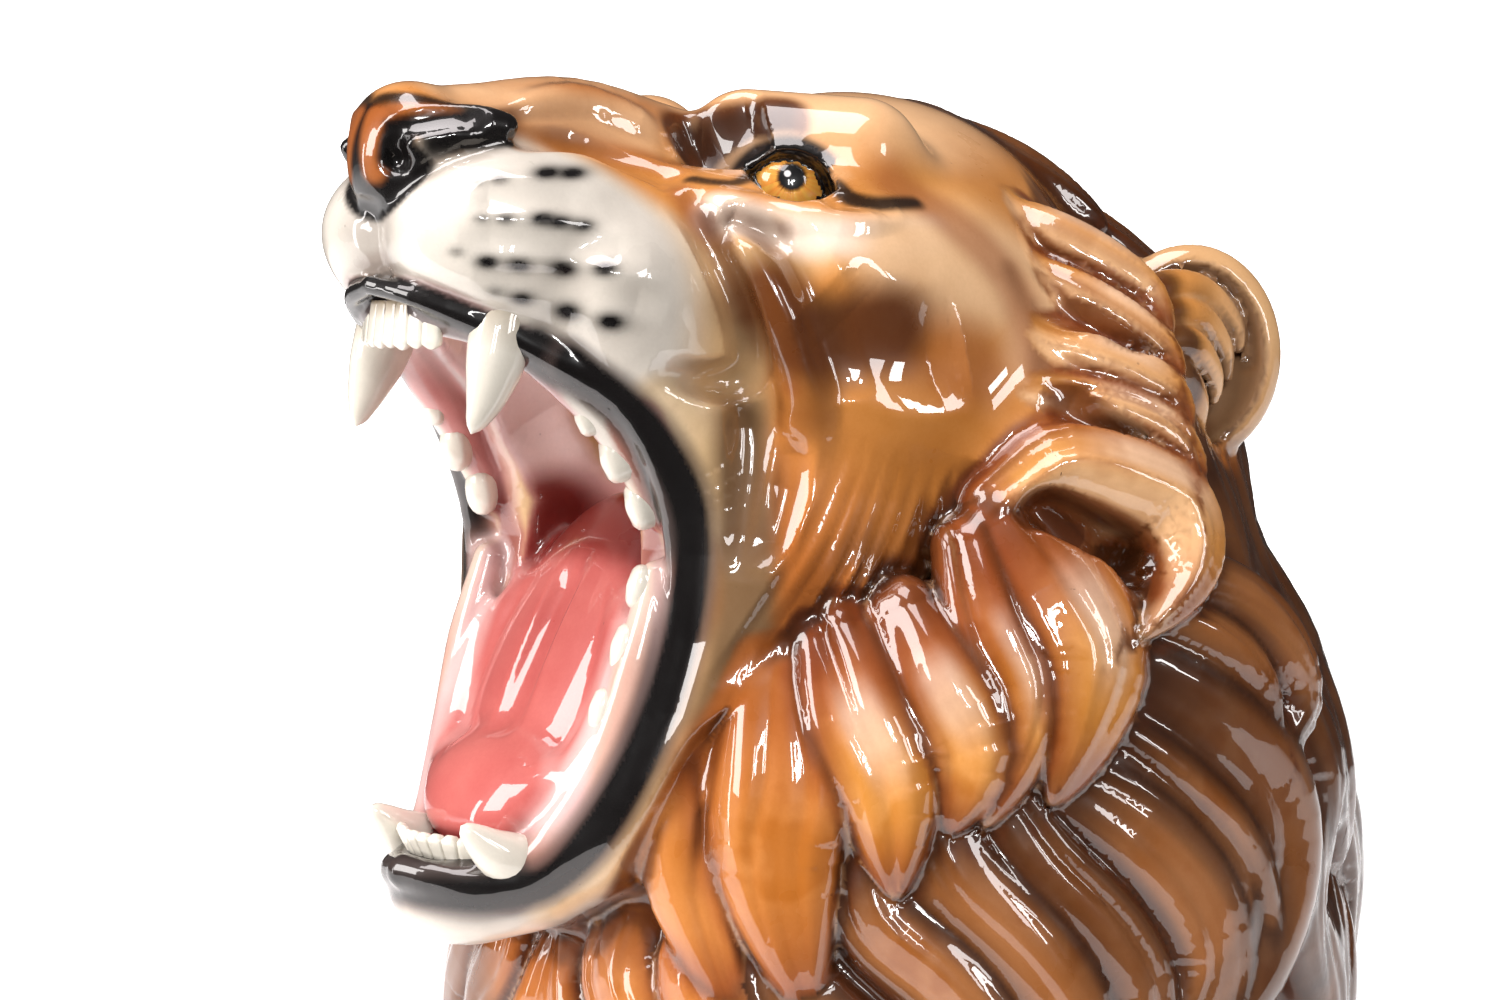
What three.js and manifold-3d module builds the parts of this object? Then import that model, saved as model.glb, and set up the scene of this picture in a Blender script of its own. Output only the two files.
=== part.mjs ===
import * as THREE from 'three';
import Module from 'manifold-3d';

const wasm = await Module();
wasm.setup();

// Driving dimensions, millimetres
const headHeight = 285; // crown to underside of the chin
const gridStep = 4.6; // spacing of the sculpting grid
const triangleGoal = 7100; // triangles kept in the carved body
const unit = headHeight / 285; // every position below is laid out for a 285 mm head

// Main sizes of the bust
const axisY = 8; // middle of the neck, behind the middle of the head
const crownHeight = 331;
const ruffRadius = 148; // cheek ruff and bib, measured from the neck axis
const ruffRise = 226; // height over which the ruff closes to the crown
const ruffStart = 100; // height where the ruff starts to close
const neckHeights = [-40, 0, 40, 84, 115, 125, 135, 145, 156, 166, 176, 190,
  207, 217, 228, 245, 262, 280, 290, 300, 310, 320, 328, 331];
const neckRadii = [144, 145, 148, 147, 146, 145, 140, 135, 128, 122, 118, 114,
  110, 105, 101, 98, 90, 75, 62, 49, 34, 18, 6, 1];

const degrees = Math.PI / 180;
const mix = (a, b, t) => a + (b - a) * t;
const clamp = (v, low, high) => Math.min(Math.max(v, low), high);

// Value of a table of sizes at any place along it
function tableValue(places, values, x) {
  if (x <= places[0]) return values[0];
  for (let i = 1; i < places.length; i++) {
    if (x <= places[i]) {
      return mix(values[i - 1], values[i], (x - places[i - 1]) / (places[i] - places[i - 1]));
    }
  }
  return values[values.length - 1];
}
const even = (values, share) => {
  const x = share * (values.length - 1);
  const i = Math.min(Math.floor(x), values.length - 2);
  return mix(values[i], values[i + 1], x - i);
};
const neckRadius = (z) => tableValue(neckHeights, neckRadii, z);

// Blended joining and cutting of distances, negative inside
function join(a, b, blend) {
  const h = Math.max(blend - Math.abs(a - b), 0) / blend;
  return Math.min(a, b) - h * h * blend * 0.25;
}
function cut(a, b, blend) {
  const h = Math.max(blend - Math.abs(a + b), 0) / blend;
  return Math.max(a, -b) + h * h * blend * 0.25;
}

// Smooth curve through a few points
function smoothPath(points, perSpan) {
  const first = points[0].map((v, k) => 2 * v - points[1][k]);
  const last = points.at(-1).map((v, k) => 2 * v - points.at(-2)[k]);
  const all = [first, ...points, last];
  const path = [];
  for (let i = 0; i < all.length - 3; i++) {
    const [a, b, c, d] = all.slice(i, i + 4);
    for (let j = 0; j < perSpan; j++) {
      const t = j / perSpan;
      path.push(b.map((v, k) => 0.5 * (2 * v + (c[k] - a[k]) * t
        + (2 * a[k] - 5 * v + 4 * c[k] - d[k]) * t * t
        + (3 * v - a[k] - 3 * c[k] + d[k]) * t ** 3)));
    }
  }
  path.push(points.at(-1).slice());
  return path;
}

// Nearest place on a path: distance, share of the way, and where
function nearest(path, x, y, z) {
  let best = Infinity;
  let share = 0;
  let at = [0, 0, 0];
  for (let i = 0; i < path.length - 1; i++) {
    const [ax, ay, az] = path[i];
    const ex = path[i + 1][0] - ax;
    const ey = path[i + 1][1] - ay;
    const ez = path[i + 1][2] - az;
    const t = clamp(((x - ax) * ex + (y - ay) * ey + (z - az) * ez) / (ex * ex + ey * ey + ez * ez), 0, 1);
    const nx = ax + t * ex;
    const ny = ay + t * ey;
    const nz = az + t * ez;
    const d = (x - nx) ** 2 + (y - ny) ** 2 + (z - nz) ** 2;
    if (d < best) {
      best = d;
      share = (i + t) / (path.length - 1);
      at = [nx, ny, nz];
    }
  }
  return { distance: Math.sqrt(best), share, at };
}

// Sculpting steps, each one at work only inside its own box
const steps = [];
function addStep(low, high, work) {
  steps.push({ low, high, work });
}
function boxAround(path, margin) {
  const low = [0, 1, 2].map((k) => Math.min(...path.map((p) => p[k])) - margin);
  const high = [0, 1, 2].map((k) => Math.max(...path.map((p) => p[k])) + margin);
  return [low, high];
}

// Rows of the rotation for a mass that is yawed and then pitched
function turned([pitch, yaw]) {
  const cy = Math.cos(yaw * degrees);
  const sy = Math.sin(yaw * degrees);
  const cp = Math.cos(pitch * degrees);
  const sp = Math.sin(pitch * degrees);
  return [[cy, sy, 0], [-sy * cp, cy * cp, sp], [sy * sp, -cy * sp, cp]];
}

function mass(centre, radii, turn, blend, combine = join) {
  const rows = turned(turn);
  const reach = [0, 1, 2].map((k) => Math.hypot(...rows.map((row, r) => row[k] * radii[r])) + blend);
  addStep(centre.map((c, k) => c - reach[k]), centre.map((c, k) => c + reach[k]), (d, x, y, z) => {
    const px = x - centre[0];
    const py = y - centre[1];
    const pz = z - centre[2];
    let a = 0;
    let b = 0;
    for (let r = 0; r < 3; r++) {
      const q = (rows[r][0] * px + rows[r][1] * py + rows[r][2] * pz) / radii[r];
      a += q * q;
      b += (q / radii[r]) ** 2;
    }
    const k = Math.sqrt(a);
    return combine(d, k * (k - 1) / (Math.sqrt(b) + 1e-6), blend);
  });
}

function tube(points, radii, blend, combine = join) {
  const path = points.length > 2 ? smoothPath(points, 5) : points;
  const [low, high] = boxAround(path, Math.max(...radii) + blend);
  addStep(low, high, (d, x, y, z) => {
    const n = nearest(path, x, y, z);
    return combine(d, n.distance - even(radii, n.share), blend);
  });
}

// A ridge (height above 0) or a groove (below 0) along a line on the skin
function stroke(points, height, width) {
  const path = smoothPath(points, 4);
  const [low, high] = boxAround(path, width);
  addStep(low, high, (d, x, y, z) => {
    const n = nearest(path, x, y, z);
    const u = Math.min(n.distance / width, 1);
    const fade = Math.min(Math.min(n.share, 1 - n.share) / 0.2, 1);
    return d - height * (1 - u * u) ** 2 * fade;
  });
}

// Place and outward direction on the neck, or on the wider ruff, at an angle from the front
function lifted(a, r, z, normal, lift) {
  const foot = [r * Math.sin(a), axisY - r * Math.cos(a), z];
  return { normal, place: foot.map((v, k) => v + lift * normal[k]) };
}
function onNeck(angle, z, lift) {
  const a = angle * degrees;
  const slope = (neckRadius(z + 4) - neckRadius(z - 4)) / 8;
  const size = Math.hypot(1, slope);
  const normal = [Math.sin(a) / size, -Math.cos(a) / size, -slope / size];
  return lifted(a, neckRadius(z), z, normal, lift);
}
function onRuff(angle, z, lift) {
  const a = angle * degrees;
  const above = Math.max(0, z - ruffStart);
  const s = Math.sqrt(Math.max(0, 1 - (above / ruffRise) ** 2));
  const raw = [Math.sin(a) * s / ruffRadius, -Math.cos(a) * s / ruffRadius, above / ruffRise ** 2];
  const size = Math.hypot(...raw);
  const normal = raw.map((v) => v / size);
  return lifted(a, ruffRadius * s, z, normal, lift);
}

// One lock of mane: a leaf-shaped roll with strands, lying on the neck or the ruff
function lock(spine, width, thick, on, lift, phase, blend, lean) {
  const sink = 0.5;
  const frames = spine.map(([angle, z], i) => {
    const s = i / (spine.length - 1);
    return on(angle, z, (-sink + (lift / thick + sink) * s ** 0.8) * thick);
  });
  const path = smoothPath(frames.map((f) => f.place), 4);
  const normals = smoothPath(frames.map((f) => f.normal), 4);
  const last = path.length - 1;
  const directions = path.map((p, i) => {
    const a = path[Math.max(i - 1, 0)];
    const b = path[Math.min(i + 1, last)];
    const size = Math.hypot(b[0] - a[0], b[1] - a[1], b[2] - a[2]);
    return b.map((v, k) => (v - a[k]) / size);
  });
  const [low, high] = boxAround(path, Math.max(width, thick) * 1.1 + blend);
  addStep(low, high, (d, x, y, z) => {
    const { share, at } = nearest(path, x, y, z);
    const i = Math.min(Math.floor(share * last), last - 1);
    const f = share * last - i;
    const t = [0, 1, 2].map((k) => mix(directions[i][k], directions[i + 1][k], f));
    const n = [0, 1, 2].map((k) => mix(normals[i][k], normals[i + 1][k], f));
    const along = n[0] * t[0] + n[1] * t[1] + n[2] * t[2];
    for (let k = 0; k < 3; k++) n[k] -= along * t[k];
    const size = Math.hypot(...n) + 1e-6;
    for (let k = 0; k < 3; k++) n[k] /= size;
    const q = [x - at[0], y - at[1], z - at[2]];
    const side = [t[1] * n[2] - t[2] * n[1], t[2] * n[0] - t[0] * n[2], t[0] * n[1] - t[1] * n[0]];
    const u = q[0] * side[0] + q[1] * side[1] + q[2] * side[2];
    const v = q[0] * n[0] + q[1] * n[1] + q[2] * n[2];
    const w = share > 0 && share < 1 ? 0 : q[0] * t[0] + q[1] * t[1] + q[2] * t[2];
    const leaf = Math.max(Math.sin(Math.PI * (0.2 + 0.8 * share)), 0.003) ** 0.62;
    const a = width * leaf;
    const across = u / a;
    const strand = 0.05 * Math.cos(2 * Math.PI * (across + phase)) + lean * across;
    const b = thick * leaf ** 0.75 * (1 + clamp(strand, -0.5, 0.5));
    const e = Math.sqrt(Math.abs(across) ** 2.4 + (v / b) ** 2 + (2 * w / (a + b)) ** 2);
    return join(d, (e - 1) * Math.min(a, b), blend);
  });
}

// Neck and mane body
addStep([-200, -200, -60], [200, 220, crownHeight + 14], (d, x, y, z) => {
  const slope = (neckRadius(z + 3) - neckRadius(z - 3)) / 6;
  const side = (Math.hypot(x, y - axisY) - neckRadius(z)) / Math.hypot(1, slope);
  return Math.min(d, Math.max(side, (z - crownHeight) * 0.7));
});
mass([80, -6, 208], [47, 60, 68], [0, 0], 14);

// Skull, brow, bridge and muzzle
mass([0, -20, 250], [91, 88, 90], [0, 0], 12);
mass([55, -54, 262], [46, 60, 50], [0, 0], 18);
tube([[26, -84, 318], [54, -60, 315]], [20, 20], 12);
tube([[0, -194, 317], [0, -172, 318], [0, -138, 319], [0, -104, 309]], [19, 20, 22, 25], 8);
tube([[26, -130, 284], [56, -86, 268]], [31, 40], 16);
mass([15, -162, 287], [41, 52, 33], [-8, 5], 8);
mass([43, -136, 266], [24, 43, 27], [-23, 21], 8);
mass([0, -200, 322], [19, 15, 15], [-8, 0], 6);
mass([0, -206, 311], [14, 12, 16], [12, 0], 5);
tube([[14, -205, 319], [22, -193, 323], [27, -180, 323]], [8, 7, 4], 6);
mass([14, -214, 313], [4.5, 7, 4.5], [0, 35], 3, cut);

// Flesh round the mouth, jaw, chin and throat
tube([[28, -166, 268], [44, -142, 248], [46, -118, 218], [48, -112, 190],
  [44, -118, 150], [34, -138, 112], [20, -164, 94]], [15, 20, 25, 27, 26, 23, 19], 12);
tube([[60, -66, 238], [56, -84, 190]], [40, 38], 18);
tube([[56, -84, 190], [38, -124, 122]], [36, 27], 14);
mass([0, -171, 90], [31, 32, 22], [22, 0], 10);
tube([[0, -80, 150], [0, -146, 100]], [50, 30], 15);

// Folds of the face: height, width and line
const folds = [
  [-7, 9, [[51, -133, 304], [65, -130, 285], [71, -123, 265], [69, -120, 250], [64, -131, 245], [62, -154, 251]]],
  [6, 11, [[56, -126, 303], [75, -120, 286], [83, -115, 264], [84, -109, 244], [82, -107, 230], [78, -112, 212]]],
  [-6, 12, [[66, -117, 300], [84, -112, 280], [92, -106, 261], [92, -99, 238]]],
  [-4, 9, [[68, -121, 239], [72, -122, 218], [74, -126, 183]]],
  [-4, 8, [[80, -108, 232], [80, -114, 209], [79, -121, 187]]],
  [-12, 18, [[24, -111, 316], [30, -105, 320], [38, -98, 324], [45, -91, 327]]],
  [3, 10, [[27, -194, 331], [18, -151, 336], [21, -132, 332], [27, -114, 322]]],
  [-5, 10, [[30, -183, 320], [28, -155, 318], [40, -137, 312], [50, -128, 306]]],
  [3, 9, [[56, -128, 303], [65, -118, 300], [77, -105, 297], [87, -89, 296], [86, -72, 299]]],
  [-4, 9, [[62, -126, 296], [70, -120, 292], [80, -112, 288]]],
  [-3, 8, [[78, -98, 301], [85, -88, 300], [88, -74, 301]]],
  [-7, 22, [[88, -108, 272], [97, -98, 260], [103, -78, 254], [104, -60, 256]]],
  [-6, 8, [[0, -216, 303], [0, -218, 290], [0, -214, 276]]],
  [-2, 8, [[36, -201, 300], [47, -190, 301], [58, -166, 301]]],
  [-2, 8, [[36, -206, 289], [48, -194, 289], [60, -173, 287], [69, -158, 284]]],
  [-2, 8, [[38, -202, 278], [50, -186, 276], [62, -167, 272], [70, -152, 268]]],
];
for (const [height, width, points] of folds) stroke(points, height, width);

// Fine fur of the cheek, grooves spread between two lines
const cheekFront = [[92, -94, 230], [88, -109, 198], [78, -121, 172], [69, -133, 150]];
const cheekBack = [[107, -52, 219], [106, -55, 196], [99, -66, 174], [90, -84, 156]];
const cheekGrooves = 6;
for (let i = 0; i < cheekGrooves; i++) {
  const s = i / (cheekGrooves - 1);
  stroke(cheekFront.map((p, j) => p.map((v, k) => mix(v, cheekBack[j][k], s))), -3.5, 9);
}

// Line where the jaw ends and the mane begins
const jawLine = [[39, -150, 84], [57, -145, 106], [67, -135, 131], [77, -114, 145], [87, -93, 156], [95, -76, 160]];
stroke(jawLine, -6, 10);

// Open mouth: side outline of the gape, roof and floor
const gape = [[-460, 420], [-235, 292], [-211, 277], [-176, 257], [-149, 235], [-137, 213], [-133, 192],
  [-135, 165], [-141, 142], [-158, 107], [-181, 89], [-203, 92], [-235, 82], [-460, -60]];
function gapeDistance(y, z) {
  let best = Infinity;
  let inside = false;
  for (let i = 0; i < gape.length; i++) {
    const [ay, az] = gape[i];
    const [by, bz] = gape[(i + 1) % gape.length];
    const ey = by - ay;
    const ez = bz - az;
    const t = clamp(((y - ay) * ey + (z - az) * ez) / (ey * ey + ez * ez), 0, 1);
    best = Math.min(best, (y - ay - t * ey) ** 2 + (z - az - t * ez) ** 2);
    if ((az <= z) !== (bz <= z) && y < (z - az) / ez * ey + ay) inside = !inside;
  }
  return Math.sqrt(best) * (inside ? -1 : 1);
}
addStep([-200, -460, -60], [200, -100, 420], (d, x, y, z) => cut(d, gapeDistance(y, z), 3));
tube([[0, -186, 264], [0, -162, 254], [0, -138, 226], [0, -124, 200]], [13, 25, 29, 25], 4, cut);
tube([[0, -188, 108], [0, -164, 124], [0, -140, 160], [0, -126, 192]], [14, 27, 32, 28], 4, cut);

// Lips, gums and tongue
tube([[0, -213, 275], [20, -206, 270], [40, -180, 256], [53, -151, 234], [54, -134, 194],
  [51, -139, 149], [41, -158, 109], [26, -181, 90], [12, -197, 91], [0, -202, 92]],
[3, 3, 3.4, 4.6, 5.5, 6, 6, 5.5, 5, 5.5], 5);
const gumRadii = [6, 7, 8, 8, 7, 5];
tube([[0, -202, 266], [18, -197, 266], [31, -181, 260], [40, -163, 244], [44, -148, 226], [44, -136, 204]], gumRadii, 4);
tube([[0, -190, 92], [16, -186, 91], [28, -172, 96], [40, -155, 126], [45, -145, 158], [45, -137, 184]], gumRadii, 4);
mass([0, -138, 156], [36, 13, 58], [-29, 0], 4);
mass([0, -168, 116], [30, 12, 22], [-40, 0], 6);
stroke([[27, -134, 184], [34, -143, 158], [35, -155, 132], [23, -172, 112]], 6, 10);
stroke([[0, -132, 190], [0, -150, 160], [0, -168, 130]], -5, 9);

// Mane behind and below: rows of locks round the neck, each row turned half a lock
const rows = [
  { z: 318, count: 3, from: 95, to: 165, width: 12 },
  { z: 296, count: 5, from: 96, to: 176, width: 15 },
  { z: 268, count: 5, from: 112, to: 170, width: 17 },
  { z: 236, count: 5, from: 104, to: 178, width: 18 },
  { z: 200, count: 5, from: 102, to: 170, width: 20 },
  { z: 160, count: 5, from: 108, to: 178, width: 21 },
  { z: 118, count: 5, from: 112, to: 172, width: 21 },
  { z: 76, count: 5, from: 108, to: 178, width: 21 },
  { z: 38, count: 10, from: 0, to: 172, width: 19 },
];
rows.forEach((row, r) => {
  for (let c = 0; c < row.count; c++) {
    const a = mix(row.from, row.to, c / (row.count - 1));
    const sway = (c + r) % 2 ? 1 : -1;
    const z = row.z;
    const spine = [[a, z], [a + 4 * sway, z - 22], [a + 6 * sway, z - 50], [a + sway, z - 84]];
    lock(spine, row.width, 13, onNeck, 5, 0.3 * c, 4, 0);
  }
});

// Two locks of the crown that stand up behind the forehead
lock([[58, 330], [74, 326], [92, 318], [104, 304]], 12, 11, onNeck, 8, 0, 4, 0);
lock([[100, 327], [110, 317], [118, 304], [124, 286]], 14, 14, onNeck, 8, 0.3, 4, 0);

// Mane seen in the picture: dark locks, then cheek locks, then the ruff round the face.
// Each row holds width, thickness, how far one side is raised, and the places by angle and height.
const darkLocks = [
  [18, 16, -0.2, [[83, 181], [93, 172], [101, 156], [104, 139], [98, 120]]],
  [14, 15, -0.2, [[78, 172], [88, 161], [95, 145], [98, 122]]],
  [26, 16, -0.25, [[75, 156], [87, 137], [97, 113], [99, 88], [93, 60], [82, 30], [80, -10]]],
  [17, 14, -0.22, [[72, 136], [81, 117], [90, 93], [93, 66], [90, 40], [91, -10]]],
  [21, 15, -0.2, [[66, 122], [76, 104], [84, 80], [86, 56], [79, 26], [73, -14]]],
  [17, 14, -0.22, [[59, 117], [64, 95], [72, 72], [76, 50], [72, 24], [64, -16]]],
  [20, 14, -0.2, [[50, 112], [54, 90], [62, 68], [67, 46], [66, 20], [57, -18]]],
  [16, 13, -0.15, [[42, 98], [45, 78], [53, 60], [58, 38], [54, 12], [46, -22]]],
  [18, 13, 0.15, [[32, 74], [35, 52], [43, 30], [48, 8], [44, -26]]],
];
const bibLocks = [
  [18, 13, 0.2, [[24, 78], [24, 56], [30, 30], [34, -26]]],
  [17, 13, 0.15, [[11, 74], [12, 54], [17, 32], [20, -30]]],
  [15, 12, 0, [[0, 64], [2, 42], [6, 20], [7, -26]]],
];
const cheekLocks = [
  [22, 16, 0.22, [[63, 202], [68, 180], [71, 160], [69, 139], [65, 114]]],
  [17, 14, 0, [[57, 194], [59, 170], [62, 150], [61, 132], [57, 108]]],
  [21, 15, -0.25, [[47, 172], [51, 149], [55, 130], [53, 106]]],
  [21, 15, -0.22, [[38, 166], [42, 140], [46, 118], [47, 86]]],
  [25, 16, 0.15, [[31, 158], [33, 122], [33, 94], [37, 50]]],
  [20, 14, 0.2, [[22, 138], [22, 110], [23, 84], [29, 44]]],
];
const ruffLocks = [
  [12, 14, 0.1, [[74, 299], [82, 289], [90, 277], [95, 264], [93, 248]]],
  [11, 13, 0.1, [[75, 281], [83, 268], [89, 256], [92, 245], [90, 232]]],
  [12, 14, 0.1, [[71, 258], [79, 251], [86, 242], [90, 232], [89, 218]]],
  [11, 14, 0.1, [[70, 240], [79, 235], [86, 226], [89, 214], [87, 200]]],
  [15, 18, 0.1, [[62, 210], [70, 219], [79, 214], [86, 204], [87, 190], [84, 177], [77, 163]]],
];
function lockAll(table, lift) {
  table.forEach(([width, thick, lean, spine], n) => lock(spine, width, thick, onRuff, lift, 0.17 * n, 2.5, lean));
}
lockAll(darkLocks, 5);
lockAll(bibLocks, 5);
lockAll(cheekLocks, 5);
lockAll(ruffLocks, 9);

// Grooves between the ruff locks and the hollow under the lowest curl
stroke([[104, -30, 268], [110, -12, 262], [118, -2, 253], [120, 8, 244]], -4, 9);
stroke([[112, -36, 241], [121, -22, 233], [127, -10, 225], [128, 2, 216]], -4, 9);
stroke([[114, -50, 207], [121, -38, 200], [126, -22, 190], [126, -12, 174]], -8, 14);

// Eyes: lid, opening and eyeball
const eyeCentre = [41, -79.5, 305];
const eyeRadius = 15.2;
const unitVector = (v) => v.map((c) => c / Math.hypot(...v));
const cross = (a, b) => [a[1] * b[2] - a[2] * b[1], a[2] * b[0] - a[0] * b[2], a[0] * b[1] - a[1] * b[0]];
const dot = (a, b) => a[0] * b[0] + a[1] * b[1] + a[2] * b[2];
const gaze = unitVector([0.78, -0.61, 0.12]);
const leaning = [0.62, 0.74, -0.26];
const slit = unitVector(leaning.map((v, k) => v - dot(leaning, gaze) * gaze[k]));
const rise = cross(slit, gaze).map((v) => -v);
const openingHalf = 14.6;
const openingTop = 10.2;
const openingLow = 8.8;
const topRadius = (openingHalf ** 2 + openingTop ** 2) / (2 * openingTop);
const lowRadius = (openingHalf ** 2 + openingLow ** 2) / (2 * openingLow);
function almond(x, y, z) {
  const q = [x - eyeCentre[0], y - eyeCentre[1], z - eyeCentre[2]];
  const u = dot(q, slit);
  const v = dot(q, rise);
  const edge = Math.max(Math.hypot(u, v - (openingTop - topRadius)) - topRadius,
    Math.hypot(u, v + (openingLow - lowRadius)) - lowRadius);
  return { edge, depth: dot(q, gaze), radius: Math.hypot(...q) };
}
mass(eyeCentre.map((v, k) => v - gaze[k]), [17.5, 17.5, 17.5], [0, 0], 9);
addStep(eyeCentre.map((v) => v - 22), eyeCentre.map((v) => v + 30), (d, x, y, z) => {
  const { edge, depth } = almond(x, y, z);
  return cut(d, Math.max(edge, -depth), 1.5);
});
addStep(eyeCentre.map((v) => v - 22), eyeCentre.map((v) => v + 22), (d, x, y, z) => {
  const { edge, depth, radius } = almond(x, y, z);
  return depth > 0 ? join(d, Math.hypot(edge - 1, radius - 15.8) - 2.4, 2.5) : d;
});
mass(eyeCentre, [eyeRadius, eyeRadius, eyeRadius], [0, 0], 0.6);

// Ears: shell, cup and the fur inside
mass([93, 54, 251], [31, 12, 37], [0, 52], 5);
mass([100, 48.5, 251], [24.5, 11, 30], [0, 52], 3, cut);
for (const tuft of [
  [[96, 18, 262], [98, 34, 272], [101, 50, 272], [105, 62, 262], [107, 64, 250]],
  [[98, 16, 254], [101, 32, 264], [104, 46, 263], [106, 56, 253], [107, 58, 242]],
  [[100, 14, 247], [104, 28, 255], [107, 40, 254], [108, 49, 244], [107, 51, 234]],
  [[102, 12, 239], [106, 24, 246], [108, 34, 244], [108, 42, 235], [106, 44, 226]],
]) tube(tuft, [6.5, 7, 6, 4, 1.5], 2.5);

// Distance to the carved body, the same on both sides
function bodyDistance(live, x, y, z) {
  let d = 60;
  const side = Math.abs(x);
  for (const step of live) {
    const { low, high } = step;
    if (side > low[0] && side < high[0] && y > low[1] && y < high[1] && z > low[2] && z < high[2]) {
      d = step.work(d, side, y, z);
    }
  }
  return d;
}

// Sampling grid, closed a little below the underside; the true underside is cut later
const floorDepth = 2.1 * gridStep;
const gridLow = [-38 * gridStep, -226, -3 * gridStep];
const gridCount = [77, Math.ceil(400 / gridStep), Math.ceil(366 / gridStep)];
const nodeCount = gridCount[0] * gridCount[1] * gridCount[2];
const nodeIndex = (i, j, k) => (i * gridCount[1] + j) * gridCount[2] + k;
const nodePlace = (...at) => gridLow.map((low, k) => low + at[k] * gridStep);
const values = new Float64Array(nodeCount);
const middle = (gridCount[0] - 1) / 2;
const blockSize = 6;

function fillBlock(i0, j0, k0) {
  const low = nodePlace(i0, j0, k0);
  const high = nodePlace(i0 + blockSize, j0 + blockSize, k0 + blockSize);
  const live = steps.filter((s) => s.low.every((v, k) => v < high[k]) && s.high.every((v, k) => v > low[k]));
  for (let i = i0; i < Math.min(i0 + blockSize, gridCount[0]); i++) {
    for (let j = j0; j < Math.min(j0 + blockSize, gridCount[1]); j++) {
      for (let k = k0; k < Math.min(k0 + blockSize, gridCount[2]); k++) {
        const [x, y, z] = nodePlace(i, j, k);
        const d = Math.max(bodyDistance(live, x, y, z), -floorDepth - z);
        const v = Math.abs(d) < 0.05 * gridStep ? 0.05 * gridStep * (d < 0 ? -1 : 1) : d;
        values[nodeIndex(i, j, k)] = v;
        values[nodeIndex(2 * middle - i, j, k)] = v;
      }
    }
  }
}
for (let i = middle; i < gridCount[0]; i += blockSize) {
  for (let j = 0; j < gridCount[1]; j += blockSize) {
    for (let k = 0; k < gridCount[2]; k += blockSize) fillBlock(i, j, k);
  }
}

// Skin of the sampled body: each cube is split into six tetrahedra
const corners = [[0, 1, 2], [0, 2, 1], [1, 0, 2], [1, 2, 0], [2, 0, 1], [2, 1, 0]].map((order) => {
  const path = [[0, 0, 0]];
  for (const axis of order) {
    const next = path.at(-1).slice();
    next[axis] = 1;
    path.push(next);
  }
  return path;
});
const positions = [];
const faces = [];
const crossings = new Map();

function crossing(a, b) {
  const key = Math.min(a.node, b.node) * 8 + Math.abs(a.code - b.code);
  if (crossings.has(key)) return crossings.get(key);
  const t = a.value / (a.value - b.value);
  positions.push(a.place.map((v, k) => mix(v, b.place[k], t)));
  crossings.set(key, positions.length - 1);
  return positions.length - 1;
}
function addFace(a, b, c, outward) {
  const [p, q, r] = [positions[a], positions[b], positions[c]];
  const n = cross(q.map((v, k) => v - p[k]), r.map((v, k) => v - p[k]));
  faces.push(dot(n, outward) > 0 ? [a, b, c] : [a, c, b]);
}
function skinTetrahedron(nodes) {
  const inside = nodes.filter((n) => n.value < 0);
  const outside = nodes.filter((n) => n.value >= 0);
  if (!inside.length || !outside.length) return;
  const centre = (list) => [0, 1, 2].map((k) => list.reduce((sum, n) => sum + n.place[k], 0) / list.length);
  const from = centre(inside);
  const outward = centre(outside).map((v, k) => v - from[k]);
  if (inside.length === 2) {
    const [a, b, c, d] = [[0, 0], [0, 1], [1, 1], [1, 0]].map(([i, o]) => crossing(inside[i], outside[o]));
    addFace(a, b, c, outward);
    addFace(a, c, d, outward);
  } else {
    const [one, three] = inside.length === 1 ? [inside[0], outside] : [outside[0], inside];
    const [a, b, c] = three.map((n) => crossing(one, n));
    addFace(a, b, c, outward);
  }
}
for (let i = 0; i < gridCount[0] - 1; i++) {
  for (let j = 0; j < gridCount[1] - 1; j++) {
    for (let k = 0; k < gridCount[2] - 1; k++) {
      const at = (c) => values[nodeIndex(i + c[0], j + c[1], k + c[2])];
      const first = at([0, 0, 0]) < 0;
      let mixed = false;
      for (let c = 1; c < 8 && !mixed; c++) mixed = (at([c >> 2, (c >> 1) & 1, c & 1]) < 0) !== first;
      if (!mixed) continue;
      for (const path of corners) {
        skinTetrahedron(path.map((c) => ({
          node: nodeIndex(i + c[0], j + c[1], k + c[2]),
          code: c[0] * 4 + c[1] * 2 + c[2],
          value: at(c),
          place: nodePlace(i + c[0], j + c[1], k + c[2]),
        })));
      }
    }
  }
}

// The one outer shell, without the closed bubbles that overlapping steps can leave inside
function outerShell(triangles, pointCount) {
  const parent = Array.from({ length: pointCount }, (_, i) => i);
  const root = (v) => {
    while (parent[v] !== v) {
      parent[v] = parent[parent[v]];
      v = parent[v];
    }
    return v;
  };
  for (const [a, b, c] of triangles) {
    parent[root(b)] = root(a);
    parent[root(c)] = root(a);
  }
  const sizes = new Map();
  for (const t of triangles) sizes.set(root(t[0]), (sizes.get(root(t[0])) ?? 0) + 1);
  const largest = [...sizes].sort((a, b) => b[1] - a[1])[0][0];
  return triangles.filter((t) => root(t[0]) === largest);
}

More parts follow.
